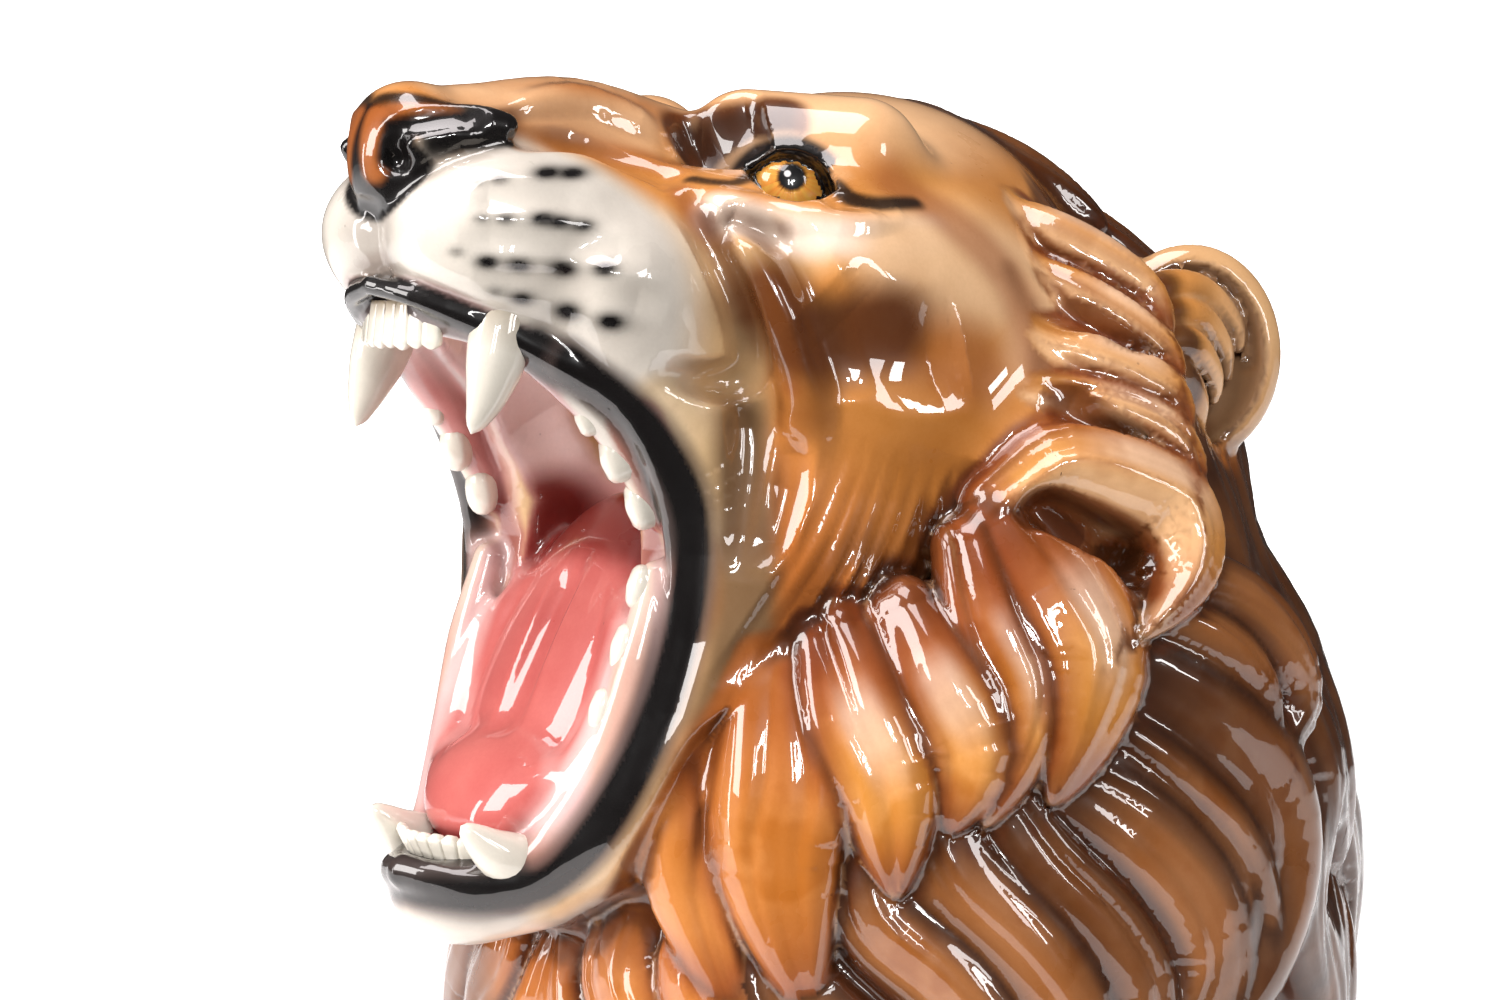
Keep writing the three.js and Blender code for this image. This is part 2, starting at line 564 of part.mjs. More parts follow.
// Thinning: edges are closed up in order of how little the shape changes
function thin(points, triangles, goal, weight) {
  const quadrics = points.map(() => new Float64Array(10));
  const around = points.map(() => new Set());
  const normalOf = (a, b, c) => cross(b.map((v, k) => v - a[k]), c.map((v, k) => v - a[k]));
  triangles.forEach((t, f) => {
    const n = normalOf(...t.map((v) => points[v]));
    const size = Math.hypot(...n) + 1e-12;
    const [a, b, c] = n.map((v) => v / size);
    const d = -(a * points[t[0]][0] + b * points[t[0]][1] + c * points[t[0]][2]);
    const share = size * weight(points[t[0]]);
    const q = [a * a, a * b, a * c, a * d, b * b, b * c, b * d, c * c, c * d, d * d];
    for (const v of t) {
      around[v].add(f);
      for (let i = 0; i < 10; i++) quadrics[v][i] += q[i] * share;
    }
  });
  const error = (q, [x, y, z]) => q[0] * x * x + 2 * q[1] * x * y + 2 * q[2] * x * z + 2 * q[3] * x
    + q[4] * y * y + 2 * q[5] * y * z + 2 * q[6] * y + q[7] * z * z + 2 * q[8] * z + q[9];
  const stamp = new Int32Array(points.length);
  const heap = [];
  const less = (a, b) => a.cost < b.cost;
  function push(item) {
    heap.push(item);
    let i = heap.length - 1;
    while (i > 0) {
      const up = (i - 1) >> 1;
      if (!less(heap[i], heap[up])) break;
      [heap[i], heap[up]] = [heap[up], heap[i]];
      i = up;
    }
  }
  function pop() {
    const top = heap[0];
    const last = heap.pop();
    if (heap.length) {
      heap[0] = last;
      let i = 0;
      for (;;) {
        let low = i;
        const l = 2 * i + 1;
        if (l < heap.length && less(heap[l], heap[low])) low = l;
        if (l + 1 < heap.length && less(heap[l + 1], heap[low])) low = l + 1;
        if (low === i) break;
        [heap[i], heap[low]] = [heap[low], heap[i]];
        i = low;
      }
    }
    return top;
  }
  function bestPlace(q, a, b) {
    const [m00, m01, m02, m11, m12, m22] = [q[0], q[1], q[2], q[4], q[5], q[7]];
    const det3 = (a, b, c) => dot(a, cross(b, c));
    const rows = [[m00, m01, m02], [m01, m11, m12], [m02, m12, m22]];
    const det = det3(...rows);
    const centre = a.map((v, k) => (v + b[k]) / 2);
    const scale = (m00 + m11 + m22) ** 3;
    const tries = [a, b, centre];
    if (Math.abs(det) > 1e-4 * scale) {
      const right = [-q[3], -q[6], -q[8]];
      const [x, y, z] = [0, 1, 2].map((k) => det3(...rows.map((row, r) => row.with(k, right[r]))) / det);
      const reach = 1.5 * Math.hypot(...a.map((v, k) => v - b[k]));
      if (Math.hypot(x - centre[0], y - centre[1], z - centre[2]) < reach) tries.push([x, y, z]);
    }
    let best = null;
    for (const place of tries) {
      const cost = error(q, place);
      if (!best || cost < best.cost) best = { cost, place };
    }
    return best;
  }
  function offer(a, b) {
    const q = quadrics[a].map((v, i) => v + quadrics[b][i]);
    const { cost, place } = bestPlace(q, points[a], points[b]);
    const length = Math.hypot(...points[a].map((v, k) => v - points[b][k]));
    push({ cost: Math.max(cost, 0) + 1e-3 * length ** 2, place, a, b, sa: stamp[a], sb: stamp[b] });
  }
  const neighbours = (v) => {
    const set = new Set();
    for (const f of around[v]) for (const w of triangles[f]) if (w !== v) set.add(w);
    return set;
  };
  function keepsShape(a, b, place) {
    const na = neighbours(a);
    let shared = 0;
    for (const w of neighbours(b)) if (na.has(w)) shared++;
    if (shared !== 2) return false;
    for (const v of [a, b]) {
      for (const f of around[v]) {
        const t = triangles[f];
        if (t.includes(a) && t.includes(b)) continue;
        const before = normalOf(...t.map((w) => points[w]));
        const moved = t.map((w) => (w === v ? place : points[w]));
        const after = normalOf(...moved);
        const size = Math.hypot(...after);
        if (dot(before, after) < 0.3 * Math.hypot(...before) * size) return false;
        const sides = moved.map((p, i) => Math.hypot(...p.map((c, k) => c - moved[(i + 1) % 3][k])));
        const longest = Math.max(...sides);
        if (size < 0.06 * longest * longest) return false;
      }
    }
    return true;
  }
  points.forEach((_, v) => {
    for (const w of neighbours(v)) if (v < w) offer(v, w);
  });
  let count = triangles.length;
  while (count > goal && heap.length) {
    const { place, a, b, sa, sb } = pop();
    if (sa !== stamp[a] || sb !== stamp[b] || !around[a].size || !around[b].size) continue;
    if (!keepsShape(a, b, place)) continue;
    points[a] = place;
    for (let i = 0; i < 10; i++) quadrics[a][i] += quadrics[b][i];
    for (const f of around[b]) {
      const t = triangles[f];
      if (t.includes(a)) {
        for (const w of t) around[w].delete(f);
        triangles[f] = null;
        count--;
      } else {
        t[t.indexOf(b)] = a;
        around[a].add(f);
      }
    }
    around[b].clear();
    stamp[a]++;
    stamp[b]++;
    for (const w of neighbours(a)) offer(a, w);
  }
  return triangles.filter(Boolean);
}
const faceWeight = ([, y, z]) => (y < -50 && z > 60 ? 4 : 1);
const shell = outerShell(faces, positions.length);
const kept = thin(positions, shell, triangleGoal, faceWeight);

// Closed solids out of points and triangles
function solidFrom(points, triangles) {
  const used = new Map();
  const flat = [];
  const order = new Uint32Array(triangles.flat().map((v) => {
    if (!used.has(v)) {
      used.set(v, used.size);
      flat.push(...points[v].map((c) => c * unit));
    }
    return used.get(v);
  }));
  const mesh = new wasm.Mesh({ numProp: 3, vertProperties: new Float32Array(flat), triVerts: order });
  return new wasm.Manifold(mesh);
}

// A closed round bar along a path, used for the teeth
function bar(path, radii, sides) {
  const points = [];
  const triangles = [];
  path.forEach((p, i) => {
    const a = path[Math.max(i - 1, 0)];
    const b = path[Math.min(i + 1, path.length - 1)];
    const t = unitVector(b.map((v, k) => v - a[k]));
    const u = unitVector(cross(t, Math.abs(t[0]) < 0.9 ? [1, 0, 0] : [0, 1, 0]));
    const v = cross(t, u);
    for (let s = 0; s < sides; s++) {
      const angle = 2 * Math.PI * s / sides;
      points.push(p.map((c, k) => c + radii[i] * (u[k] * Math.cos(angle) + v[k] * Math.sin(angle))));
    }
  });
  points.push(path[0], path.at(-1));
  const start = points.length - 2;
  const end = points.length - 1;
  const last = (path.length - 1) * sides;
  for (let s = 0; s < sides; s++) {
    const n = (s + 1) % sides;
    for (let i = 0; i < path.length - 1; i++) {
      const [a, b, c, d] = [i * sides + s, i * sides + n, (i + 1) * sides + n, (i + 1) * sides + s];
      triangles.push([a, b, c], [a, c, d]);
    }
    triangles.push([start, n, s], [end, last + s, last + n]);
  }
  return solidFrom(points, triangles);
}
const mirrored = (path) => path.map(([x, y, z]) => [-x, y, z]);

const upperCanine = [[30, -180, 272], [31, -186, 260], [32, -190, 249], [32.5, -194, 239], [31.5, -197.5, 230]];
const lowerCanine = [[26, -168, 92], [26, -177, 95], [26, -185, 99], [25.5, -192, 104], [25, -197.5, 108.5]];
const cheekTeeth = [[42, -161, 234], [44, -151, 222], [44, -141, 207], [44, -143, 178], [44, -148, 160], [41, -156, 141]];
const incisorCount = 4;
const teeth = [];
for (const [path, radii] of [[upperCanine, [9.4, 10.2, 8.7, 5.7, 1.8]], [lowerCanine, [9, 9.2, 7.6, 5, 1.6]]]) {
  teeth.push(bar(path, radii, 8), bar(mirrored(path), radii, 8));
}
for (const [x, y, z] of cheekTeeth) {
  const path = [[x, y + 3, z - 7], [x - 0.5, y - 3, z - 3], [x - 0.5, y - 3, z + 3], [x, y + 3, z + 7]];
  const radii = [3.5, 5.5, 5.5, 3.5];
  teeth.push(bar(path, radii, 6), bar(mirrored(path), radii, 6));
}
// The front teeth stand on two arcs
const upperArc = { spacing: 5.1, radius: 34, front: -206 };
const lowerArc = { spacing: 4.5, radius: 26, front: -192 };
for (let i = 0; i < incisorCount; i++) {
  const [upper, lower] = [upperArc, lowerArc].map(({ spacing, radius, front }) => {
    const a = (i + 0.5) * spacing / radius;
    return [radius * Math.sin(a), front + radius * (1 - Math.cos(a))];
  });
  const [ux, uy] = upper;
  const [lx, ly] = lower;
  const hanging = [[ux, uy, 268], [ux, uy - 1, 261], [ux, uy - 1, 256]];
  const standing = [[lx, ly, 93], [lx, ly - 3, 98], [lx, ly - 5, 103]];
  for (const [path, radii] of [[hanging, [2.6, 2.9, 2.4]], [standing, [2.3, 2.6, 2.1]]]) {
    teeth.push(bar(path, radii, 6), bar(mirrored(path), radii, 6));
  }
}

// Block that cuts the underside flat
function block(low, high) {
  const points = [];
  for (let i = 0; i < 8; i++) {
    points.push([i & 4 ? high[0] : low[0], i & 2 ? high[1] : low[1], i & 1 ? high[2] : low[2]]);
  }
  const quads = [[0, 1, 3, 2], [4, 6, 7, 5], [0, 4, 5, 1], [2, 3, 7, 6], [0, 2, 6, 4], [1, 5, 7, 3]];
  return solidFrom(points, quads.flatMap(([a, b, c, d]) => [[a, b, c], [a, c, d]]));
}

let bust = solidFrom(positions, kept);
for (const tooth of teeth) bust = bust.add(tooth);
bust = bust.subtract(block([-300, -300, -60], [300, 300, 0]));

// Surface of the finished bust
const mesh = bust.getMesh();
const pointTotal = mesh.vertProperties.length / mesh.numProp;
const corner = (i) => Array.from(mesh.triVerts.slice(3 * i, 3 * i + 3));
const surface = outerShell(Array.from({ length: mesh.triVerts.length / 3 }, (_, i) => corner(i)), pointTotal);
const renumber = new Map();
const xyz = [];
const index = surface.flat().map((v) => {
  if (!renumber.has(v)) {
    renumber.set(v, renumber.size);
    for (let k = 0; k < 3; k++) xyz.push(mesh.vertProperties[v * mesh.numProp + k]);
  }
  return renumber.get(v);
});
const geometry = new THREE.BufferGeometry();
geometry.setAttribute('position', new THREE.Float32BufferAttribute(xyz, 3));
geometry.setIndex(index);
geometry.computeVertexNormals();

const glaze = new THREE.MeshStandardMaterial({ color: 0x8a5527, roughness: 0.12, metalness: 0 });
const lionBust = new THREE.Mesh(geometry, glaze);
lionBust.name = 'lion_bust';

const group = new THREE.Group();
group.name = 'glazed_lion_bust';
group.add(lionBust);

export default group;
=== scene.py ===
import math
import bpy
import numpy as np
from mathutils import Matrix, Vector


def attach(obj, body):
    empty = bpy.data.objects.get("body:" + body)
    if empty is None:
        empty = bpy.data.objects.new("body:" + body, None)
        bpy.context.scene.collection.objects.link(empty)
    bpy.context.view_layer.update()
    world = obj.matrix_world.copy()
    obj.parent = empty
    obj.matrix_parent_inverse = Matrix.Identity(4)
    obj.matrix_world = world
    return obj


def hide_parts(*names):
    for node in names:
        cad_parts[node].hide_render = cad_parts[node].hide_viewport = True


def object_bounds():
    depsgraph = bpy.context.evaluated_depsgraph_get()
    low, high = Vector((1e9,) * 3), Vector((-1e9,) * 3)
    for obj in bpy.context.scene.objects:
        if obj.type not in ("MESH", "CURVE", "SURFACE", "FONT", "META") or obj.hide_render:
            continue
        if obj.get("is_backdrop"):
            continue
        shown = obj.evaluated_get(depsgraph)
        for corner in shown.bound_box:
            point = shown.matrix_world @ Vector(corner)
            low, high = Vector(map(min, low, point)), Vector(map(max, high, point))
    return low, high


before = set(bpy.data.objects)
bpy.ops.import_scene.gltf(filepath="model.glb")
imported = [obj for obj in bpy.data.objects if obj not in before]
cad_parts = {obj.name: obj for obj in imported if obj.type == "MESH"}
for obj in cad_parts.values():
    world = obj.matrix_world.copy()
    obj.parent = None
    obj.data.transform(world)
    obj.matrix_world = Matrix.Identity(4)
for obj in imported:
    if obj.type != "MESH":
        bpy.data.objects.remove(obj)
cad_low, cad_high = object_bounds()

# Main sizes, millimetres in the row's frame
AXIS_Y = 8.0
CROWN = 331.0
RUFF_RADIUS, RUFF_RISE, RUFF_START = 148.0, 226.0, 100.0
NECK_HEIGHTS = [-40, 0, 40, 84, 115, 125, 135, 145, 156, 166, 176, 190,
                207, 217, 228, 245, 262, 280, 290, 300, 310, 320, 328, 331]
NECK_RADII = [144, 145, 148, 147, 146, 145, 140, 135, 128, 122, 118, 114,
              110, 105, 101, 98, 90, 75, 62, 49, 34, 18, 6, 1]
SEAM_Y = -45.0  # the face and jaw pieces lie in front of this plane, the mane piece behind it
BACK_Y = 84.0  # and the back piece behind this one
JAW_Z = 180.0  # the face piece lies above this height, the jaw piece below it
SEAM_OVERLAP = 3.0
FACE_STEP, JAW_STEP, MANE_STEP, BACK_STEP = 2.7, 2.8, 3.6, 4.2
F = np.float32


def unit(v):
    v = np.array(v, float)
    return v / np.linalg.norm(v)


# Blended joining and cutting of distances, negative inside
def join(a, b, blend):
    h = np.maximum(blend - np.abs(a - b), 0) / blend
    return np.minimum(a, b) - h * h * blend * 0.25


def cut(a, b, blend):
    h = np.maximum(blend - np.abs(a + b), 0) / blend
    return np.maximum(a, -b) + h * h * blend * 0.25


def turned(pitch, yaw):
    cy, sy = math.cos(math.radians(yaw)), math.sin(math.radians(yaw))
    cp, sp = math.cos(math.radians(pitch)), math.sin(math.radians(pitch))
    return np.array([[cy, sy, 0], [-sy * cp, cy * cp, sp], [sy * sp, -cy * sp, cp]], F)


def ellipsoid(p, centre, radii, rows):
    q = ((p - centre) @ rows.T) / radii
    a = np.sqrt((q * q).sum(1))
    q = q / radii
    return a * (a - 1) / (np.sqrt((q * q).sum(1)) + F(1e-6))


def smooth_path(points, per_span=5):
    pts = np.array(points, float)
    pts = np.vstack([2 * pts[0] - pts[1], pts, 2 * pts[-1] - pts[-2]])
    out = []
    for a, b, c, d in zip(pts, pts[1:], pts[2:], pts[3:]):
        for j in range(per_span):
            t = j / per_span
            curve = 2 * b + (c - a) * t + (2 * a - 5 * b + 4 * c - d) * t * t + (3 * b - a - 3 * c + d) * t ** 3
            out.append(0.5 * curve)
    out.append(pts[-2])
    return np.array(out, F)


def nearest(p, path):
    """Distance to a path, share of the way along it, and the nearest place."""
    a, ab = path[:-1], np.diff(path, axis=0)
    t = np.clip((p @ ab.T - (a * ab).sum(1)) / np.maximum((ab * ab).sum(1), 1e-6), 0, 1)
    q = a + t[..., None] * ab - p[:, None]
    d = (q * q).sum(2)
    j = d.argmin(1)
    i = np.arange(len(p))
    return np.sqrt(d[i, j]), (j + t[i, j]) / len(ab), q[i, j] + p


def outline_distance(y, z, outline):
    """Signed distance to a closed outline in the side view, negative inside."""
    best = np.full(len(y), 1e12, F)
    inside = np.zeros(len(y), bool)
    for a, b in zip(outline, np.roll(outline, -1, axis=0)):
        e = b - a
        w0, w1 = y - a[0], z - a[1]
        t = np.clip((w0 * e[0] + w1 * e[1]) / float(e @ e), 0, 1)
        best = np.minimum(best, (w0 - t * e[0]) ** 2 + (w1 - t * e[1]) ** 2)
        if a[1] != b[1]:
            inside ^= ((a[1] <= z) != (b[1] <= z)) & (y < (z - a[1]) / (b[1] - a[1]) * e[0] + a[0])
    return np.sqrt(best) * np.where(inside, F(-1), F(1))


# Sculpting steps, each one at work only inside its own box
steps = []


def step(low, high, work):
    steps.append((np.array(low, F), np.array(high, F), work))


def mass(centre, radii, turn=(0, 0), blend=8.0, combine=join):
    c, r, rows = np.array(centre, F), np.array(radii, F), turned(*turn)
    reach = np.sqrt(((rows.T * r) ** 2).sum(1)) + blend
    step(c - reach, c + reach, lambda d, p: combine(d, ellipsoid(p, c, r, rows), blend))


def tube(points, radii, blend, combine=join):
    path = smooth_path(points) if len(points) > 2 else np.array(points, F)
    r = np.array(radii, F)
    places = np.linspace(0, 1, len(r))

    def work(d, p):
        e, s, _ = nearest(p, path)
        return combine(d, e - np.interp(s, places, r).astype(F), blend)
    step(path.min(0) - r.max() - blend, path.max(0) + r.max() + blend, work)


def stroke(points, height, width, fade=0.2):
    """A ridge (height above 0) or a groove (below 0) along a line on the skin."""
    path = smooth_path(points)

    def work(d, p):
        r, s, _ = nearest(p, path)
        u = np.minimum(r / width, 1)
        ends = np.minimum(np.minimum(s, 1 - s) / fade, 1) if fade else 1
        return (d - height * (1 - u * u) ** 2 * ends).astype(F)
    step(path.min(0) - width, path.max(0) + width, work)


def neck_radius(z):
    return np.interp(z, NECK_HEIGHTS, NECK_RADII)


def on_neck(angle, z, lift):
    a = math.radians(angle)
    r = float(neck_radius(z))
    n = unit([math.sin(a), -math.cos(a), -float(neck_radius(z + 4) - neck_radius(z - 4)) / 8])
    return np.array([r * math.sin(a), AXIS_Y - r * math.cos(a), z]) + lift * n, n


def on_ruff(angle, z, lift):
    a = math.radians(angle)
    above = max(0.0, z - RUFF_START)
    s = math.sqrt(max(0.0, 1 - (above / RUFF_RISE) ** 2))
    n = unit([math.sin(a) * s / RUFF_RADIUS, -math.cos(a) * s / RUFF_RADIUS, above / RUFF_RISE ** 2])
    r = RUFF_RADIUS * s
    return np.array([r * math.sin(a), AXIS_Y - r * math.cos(a), z]) + lift * n, n


# Locks of the mane; every lock is kept in a list, so that the paint can follow it too
locks = []


def lock(spine, width, thick, on=on_ruff, lift=5.0, phase=0.0, blend=2.5, tone=0.0, lean=0.0, fine=1.0):
    """A leaf-shaped roll lying on the neck or the ruff, one side higher by lean, with a fine crease from its root.
    tone: 0 dark mane, 1 orange."""
    sink = 0.5
    frames = [on(a, z, (-sink + (lift / thick + sink) * (i / (len(spine) - 1)) ** 0.8) * thick)
              for i, (a, z) in enumerate(spine)]
    path = smooth_path([f[0] for f in frames], 4)
    normals = smooth_path([f[1] for f in frames], 4)
    ahead = np.vstack([path[1:], path[-1:]]) - np.vstack([path[:1], path[:-1]])
    ahead /= np.linalg.norm(ahead, axis=1)[:, None]
    last = len(path) - 1

    def local(p):
        _, s, near = nearest(p, path)
        j = np.minimum((s * last).astype(int), last - 1)
        f = (s * last - j)[:, None].astype(F)
        t = ahead[j] * (1 - f) + ahead[j + 1] * f
        n = normals[j] * (1 - f) + normals[j + 1] * f
        n = n - (n * t).sum(1)[:, None] * t
        n /= np.linalg.norm(n, axis=1)[:, None] + F(1e-6)
        q = p - near
        leaf = np.maximum(np.sin(np.pi * (0.2 + 0.8 * s)), 0.003) ** 0.62
        a = width * leaf
        across = (q * np.cross(t, n)).sum(1) / a
        strand = 0.05 * np.cos(2 * np.pi * (across + phase)) + lean * across
        first, second = 0.5 * np.sin(2 * np.pi * phase), -0.45 * np.cos(2 * np.pi * phase)
        crease = 0.12 * np.exp(-((across - first) / 0.14) ** 2) * (1 - s) ** 0.7 * fine
        crease += 0.09 * np.exp(-((across - second - 0.5 * (s - 0.6)) / 0.12) ** 2) * s * (1 - s) * 3 * fine
        b = thick * leaf ** 0.75 * (1 + np.clip(strand - crease, -0.5, 0.5))
        w = np.where((s > 0) & (s < 1), 0, (q * t).sum(1))
        e = np.sqrt(np.abs(across) ** 2.4 + ((q * n).sum(1) / b) ** 2 + (2 * w / (a + b)) ** 2)
        return e, s, across, np.minimum(a, b)

    def work(d, p):
        e, _, _, size = local(p)
        return join(d, ((e - 1) * size).astype(F), blend)
    margin = max(width, thick) * 1.1 + blend
    low, high = path.min(0) - margin, path.max(0) + margin
    step(low, high, work)
    locks.append((low, high, local, tone))


# Neck and mane body
def neck_work(d, p):
    z = p[:, 2]
    slope = (neck_radius(z + 3) - neck_radius(z - 3)) / 6
    side = (np.hypot(p[:, 0], p[:, 1] - AXIS_Y) - neck_radius(z)) / np.sqrt(1 + slope ** 2)
    return np.minimum(d, np.maximum(side, (z - CROWN) * 0.7)).astype(F)


step((-200, -200, -60), (200, 220, CROWN + 14), neck_work)
mass((80, -6, 208), (47, 60, 68), blend=14)

# Skull, brow, bridge and muzzle
mass((0, -20, 250), (91, 88, 90), blend=12)
mass((55, -54, 262), (46, 60, 50), blend=18)
tube([(26, -84, 318), (54, -60, 315)], [20, 20], 12)
tube([(0, -194, 317), (0, -172, 318), (0, -138, 319), (0, -104, 309)], [19, 20, 22, 25], 8)
tube([(26, -130, 284), (56, -86, 268)], [31, 40], 16)
mass((15, -162, 287), (41, 52, 33), (-8, 5), 8)
mass((43, -136, 266), (24, 43, 27), (-23, 21), 8)
mass((0, -200, 322), (19, 15, 15), (-8, 0), 6)
mass((0, -206, 311), (14, 12, 16), (12, 0), 5)
tube([(14, -205, 319), (22, -193, 323), (27, -180, 323)], [8, 7, 4], 6)
mass((14, -214, 313), (4.5, 7, 4.5), (0, 35), 3, cut)

# Flesh round the mouth, jaw, chin and throat
tube([(28, -166, 268), (44, -142, 248), (46, -118, 218), (48, -112, 190), (44, -118, 150), (34, -138, 112), (20, -164, 94)],
     [15, 20, 25, 27, 26, 23, 19], 12)
tube([(60, -66, 238), (56, -84, 190)], [40, 38], 18)
tube([(56, -84, 190), (38, -124, 122)], [36, 27], 14)
mass((0, -171, 90), (31, 32, 22), (22, 0), 10)
tube([(0, -80, 150), (0, -146, 100)], [50, 30], 15)

# Folds of the face: line, height, width
FOLDS = [
    ([(51, -133, 304), (65, -130, 285), (71, -123, 265), (69, -120, 250), (64, -131, 245), (62, -154, 251)], -7, 9),
    ([(56, -126, 303), (75, -120, 286), (83, -115, 264), (84, -109, 244), (82, -107, 230), (78, -112, 212)], 6, 11),
    ([(66, -117, 300), (84, -112, 280), (92, -106, 261), (92, -99, 238)], -6, 12),
    ([(68, -121, 239), (72, -122, 218), (74, -126, 183)], -4, 9),
    ([(80, -108, 232), (80, -114, 209), (79, -121, 187)], -4, 8),
    ([(24, -111, 316), (30, -105, 320), (38, -98, 324), (45, -91, 327)], -12, 18),
    ([(27, -194, 331), (18, -151, 336), (21, -132, 332), (27, -114, 322)], 3, 10),
    ([(30, -183, 320), (28, -155, 318), (40, -137, 312), (50, -128, 306)], -5, 10),
    ([(56, -128, 303), (65, -118, 300), (77, -105, 297), (87, -89, 296), (86, -72, 299)], 3, 9),
    ([(62, -126, 296), (70, -120, 292), (80, -112, 288)], -4, 9),
    ([(78, -98, 301), (85, -88, 300), (88, -74, 301)], -3, 8),
    ([(88, -108, 272), (97, -98, 260), (103, -78, 254), (104, -60, 256)], -7, 22),
    ([(0, -216, 303), (0, -218, 290), (0, -214, 276)], -6, 8),
    ([(36, -201, 300), (47, -190, 301), (58, -166, 301)], -2, 8),
    ([(36, -206, 289), (48, -194, 289), (60, -173, 287), (69, -158, 284)], -2, 8),
    ([(38, -202, 278), (50, -186, 276), (62, -167, 272), (70, -152, 268)], -2, 8),
]
for line, height, width in FOLDS:
    stroke(line, height, width)

# Nostril
stroke([(9, -211, 315), (15, -212, 322), (21, -205, 325), (26, -197, 326), (30, -188, 325)], -4, 6)

# Fine fur of the cheek, grooves spread between two lines
CHEEK_FRONT = np.array([(92, -94, 230), (88, -109, 198), (78, -121, 172), (69, -133, 150)], float)
CHEEK_BACK = np.array([(107, -52, 219), (106, -55, 196), (99, -66, 174), (90, -84, 156)], float)
CHEEK_GROOVES = 9
for i in range(CHEEK_GROOVES):
    s = i / (CHEEK_GROOVES - 1)
    stroke(CHEEK_FRONT * (1 - s) + CHEEK_BACK * s, -2.6, 5.5)

# Line where the jaw ends and the mane begins
JAW_LINE = [(39, -150, 84), (57, -145, 106), (67, -135, 131), (77, -114, 145), (87, -93, 156), (95, -76, 160)]
stroke(JAW_LINE, -5, 8)

# Open mouth: side outline of the gape, roof and floor
GAPE = np.array([(-460, 420), (-235, 292), (-211, 277), (-176, 257), (-149, 235), (-137, 213), (-133, 192),
                 (-135, 165), (-141, 142), (-158, 107), (-181, 89), (-203, 92), (-235, 82), (-460, -60)], F)
step((-200, -460, -60), (200, -100, 420), lambda d, p: cut(d, outline_distance(p[:, 1], p[:, 2], GAPE), 3))
PALATE = [(0, -186, 264), (0, -162, 254), (0, -138, 226), (0, -124, 200)]
JAW_FLOOR = [(0, -188, 108), (0, -164, 124), (0, -140, 160), (0, -126, 192)]
PALATE_RADII, FLOOR_RADII = [13, 25, 29, 25], [14, 27, 32, 28]
tube(PALATE, PALATE_RADII, 4, cut)
tube(JAW_FLOOR, FLOOR_RADII, 4, cut)

# Lips, gums and tongue
LIP = [(0, -213, 275), (20, -206, 270), (40, -180, 256), (53, -151, 234), (54, -134, 194),
       (51, -139, 149), (41, -158, 109), (26, -181, 90), (12, -197, 91), (0, -202, 92)]
LIP_RADII = [3, 3, 3.4, 4.6, 5.5, 6, 6, 5.5, 5, 5.5]
LIP_EDGE = [(46, -171, 251), (53, -157, 240), (58, -143, 222), (60, -134, 198), (59, -138, 168), (56, -146, 141),
            (51, -155, 119), (44, -163, 103), (36, -173, 91), (25, -188, 87), (12, -198, 88), (0, -203, 89)]
UPPER_GUM = [(0, -202, 266), (18, -197, 266), (31, -181, 260), (40, -163, 244), (44, -148, 226), (44, -136, 204)]
LOWER_GUM = [(0, -190, 92), (16, -186, 91), (28, -172, 96), (40, -155, 126), (45, -145, 158), (45, -137, 184)]
tube(LIP, LIP_RADII, 5)
tube(UPPER_GUM, [6, 7, 8, 8, 7, 5], 4)
tube(LOWER_GUM, [6, 7, 8, 8, 7, 5], 4)
mass((0, -138, 156), (36, 13, 58), (-29, 0), 4)
mass((0, -168, 116), (30, 12, 22), (-40, 0), 6)
stroke([(27, -134, 184), (34, -143, 158), (35, -155, 132), (23, -172, 112)], 6, 10)
stroke([(0, -132, 190), (0, -150, 160), (0, -168, 130)], -5, 9)

# Mane behind and below: rows of locks round the neck, each row turned half a lock
ROWS = [(318, 3, 95, 165, 12), (296, 5, 96, 176, 15), (268, 5, 112, 170, 17), (236, 5, 104, 178, 18),
        (200, 5, 102, 170, 20), (160, 5, 108, 178, 21), (118, 5, 112, 172, 21), (76, 5, 108, 178, 21), (38, 10, 0, 172, 19)]
for r, (z, count, start, end, width) in enumerate(ROWS):
    for c in range(count):
        a = start + (end - start) * c / (count - 1)
        sway = 1 if (c + r) % 2 else -1
        lock([(a, z), (a + 4 * sway, z - 22), (a + 6 * sway, z - 50), (a + sway, z - 84)],
             width, 13, on=on_neck, phase=0.3 * c, blend=4)

# Two locks of the crown that stand up behind the forehead
for n, (spine, width, thick) in enumerate([([(58, 330), (74, 326), (92, 318), (104, 304)], 12, 11),
                                           ([(100, 327), (110, 317), (118, 304), (124, 286)], 14, 14)]):
    lock(spine, width, thick, on=on_neck, lift=8, phase=0.3 * n, blend=4)

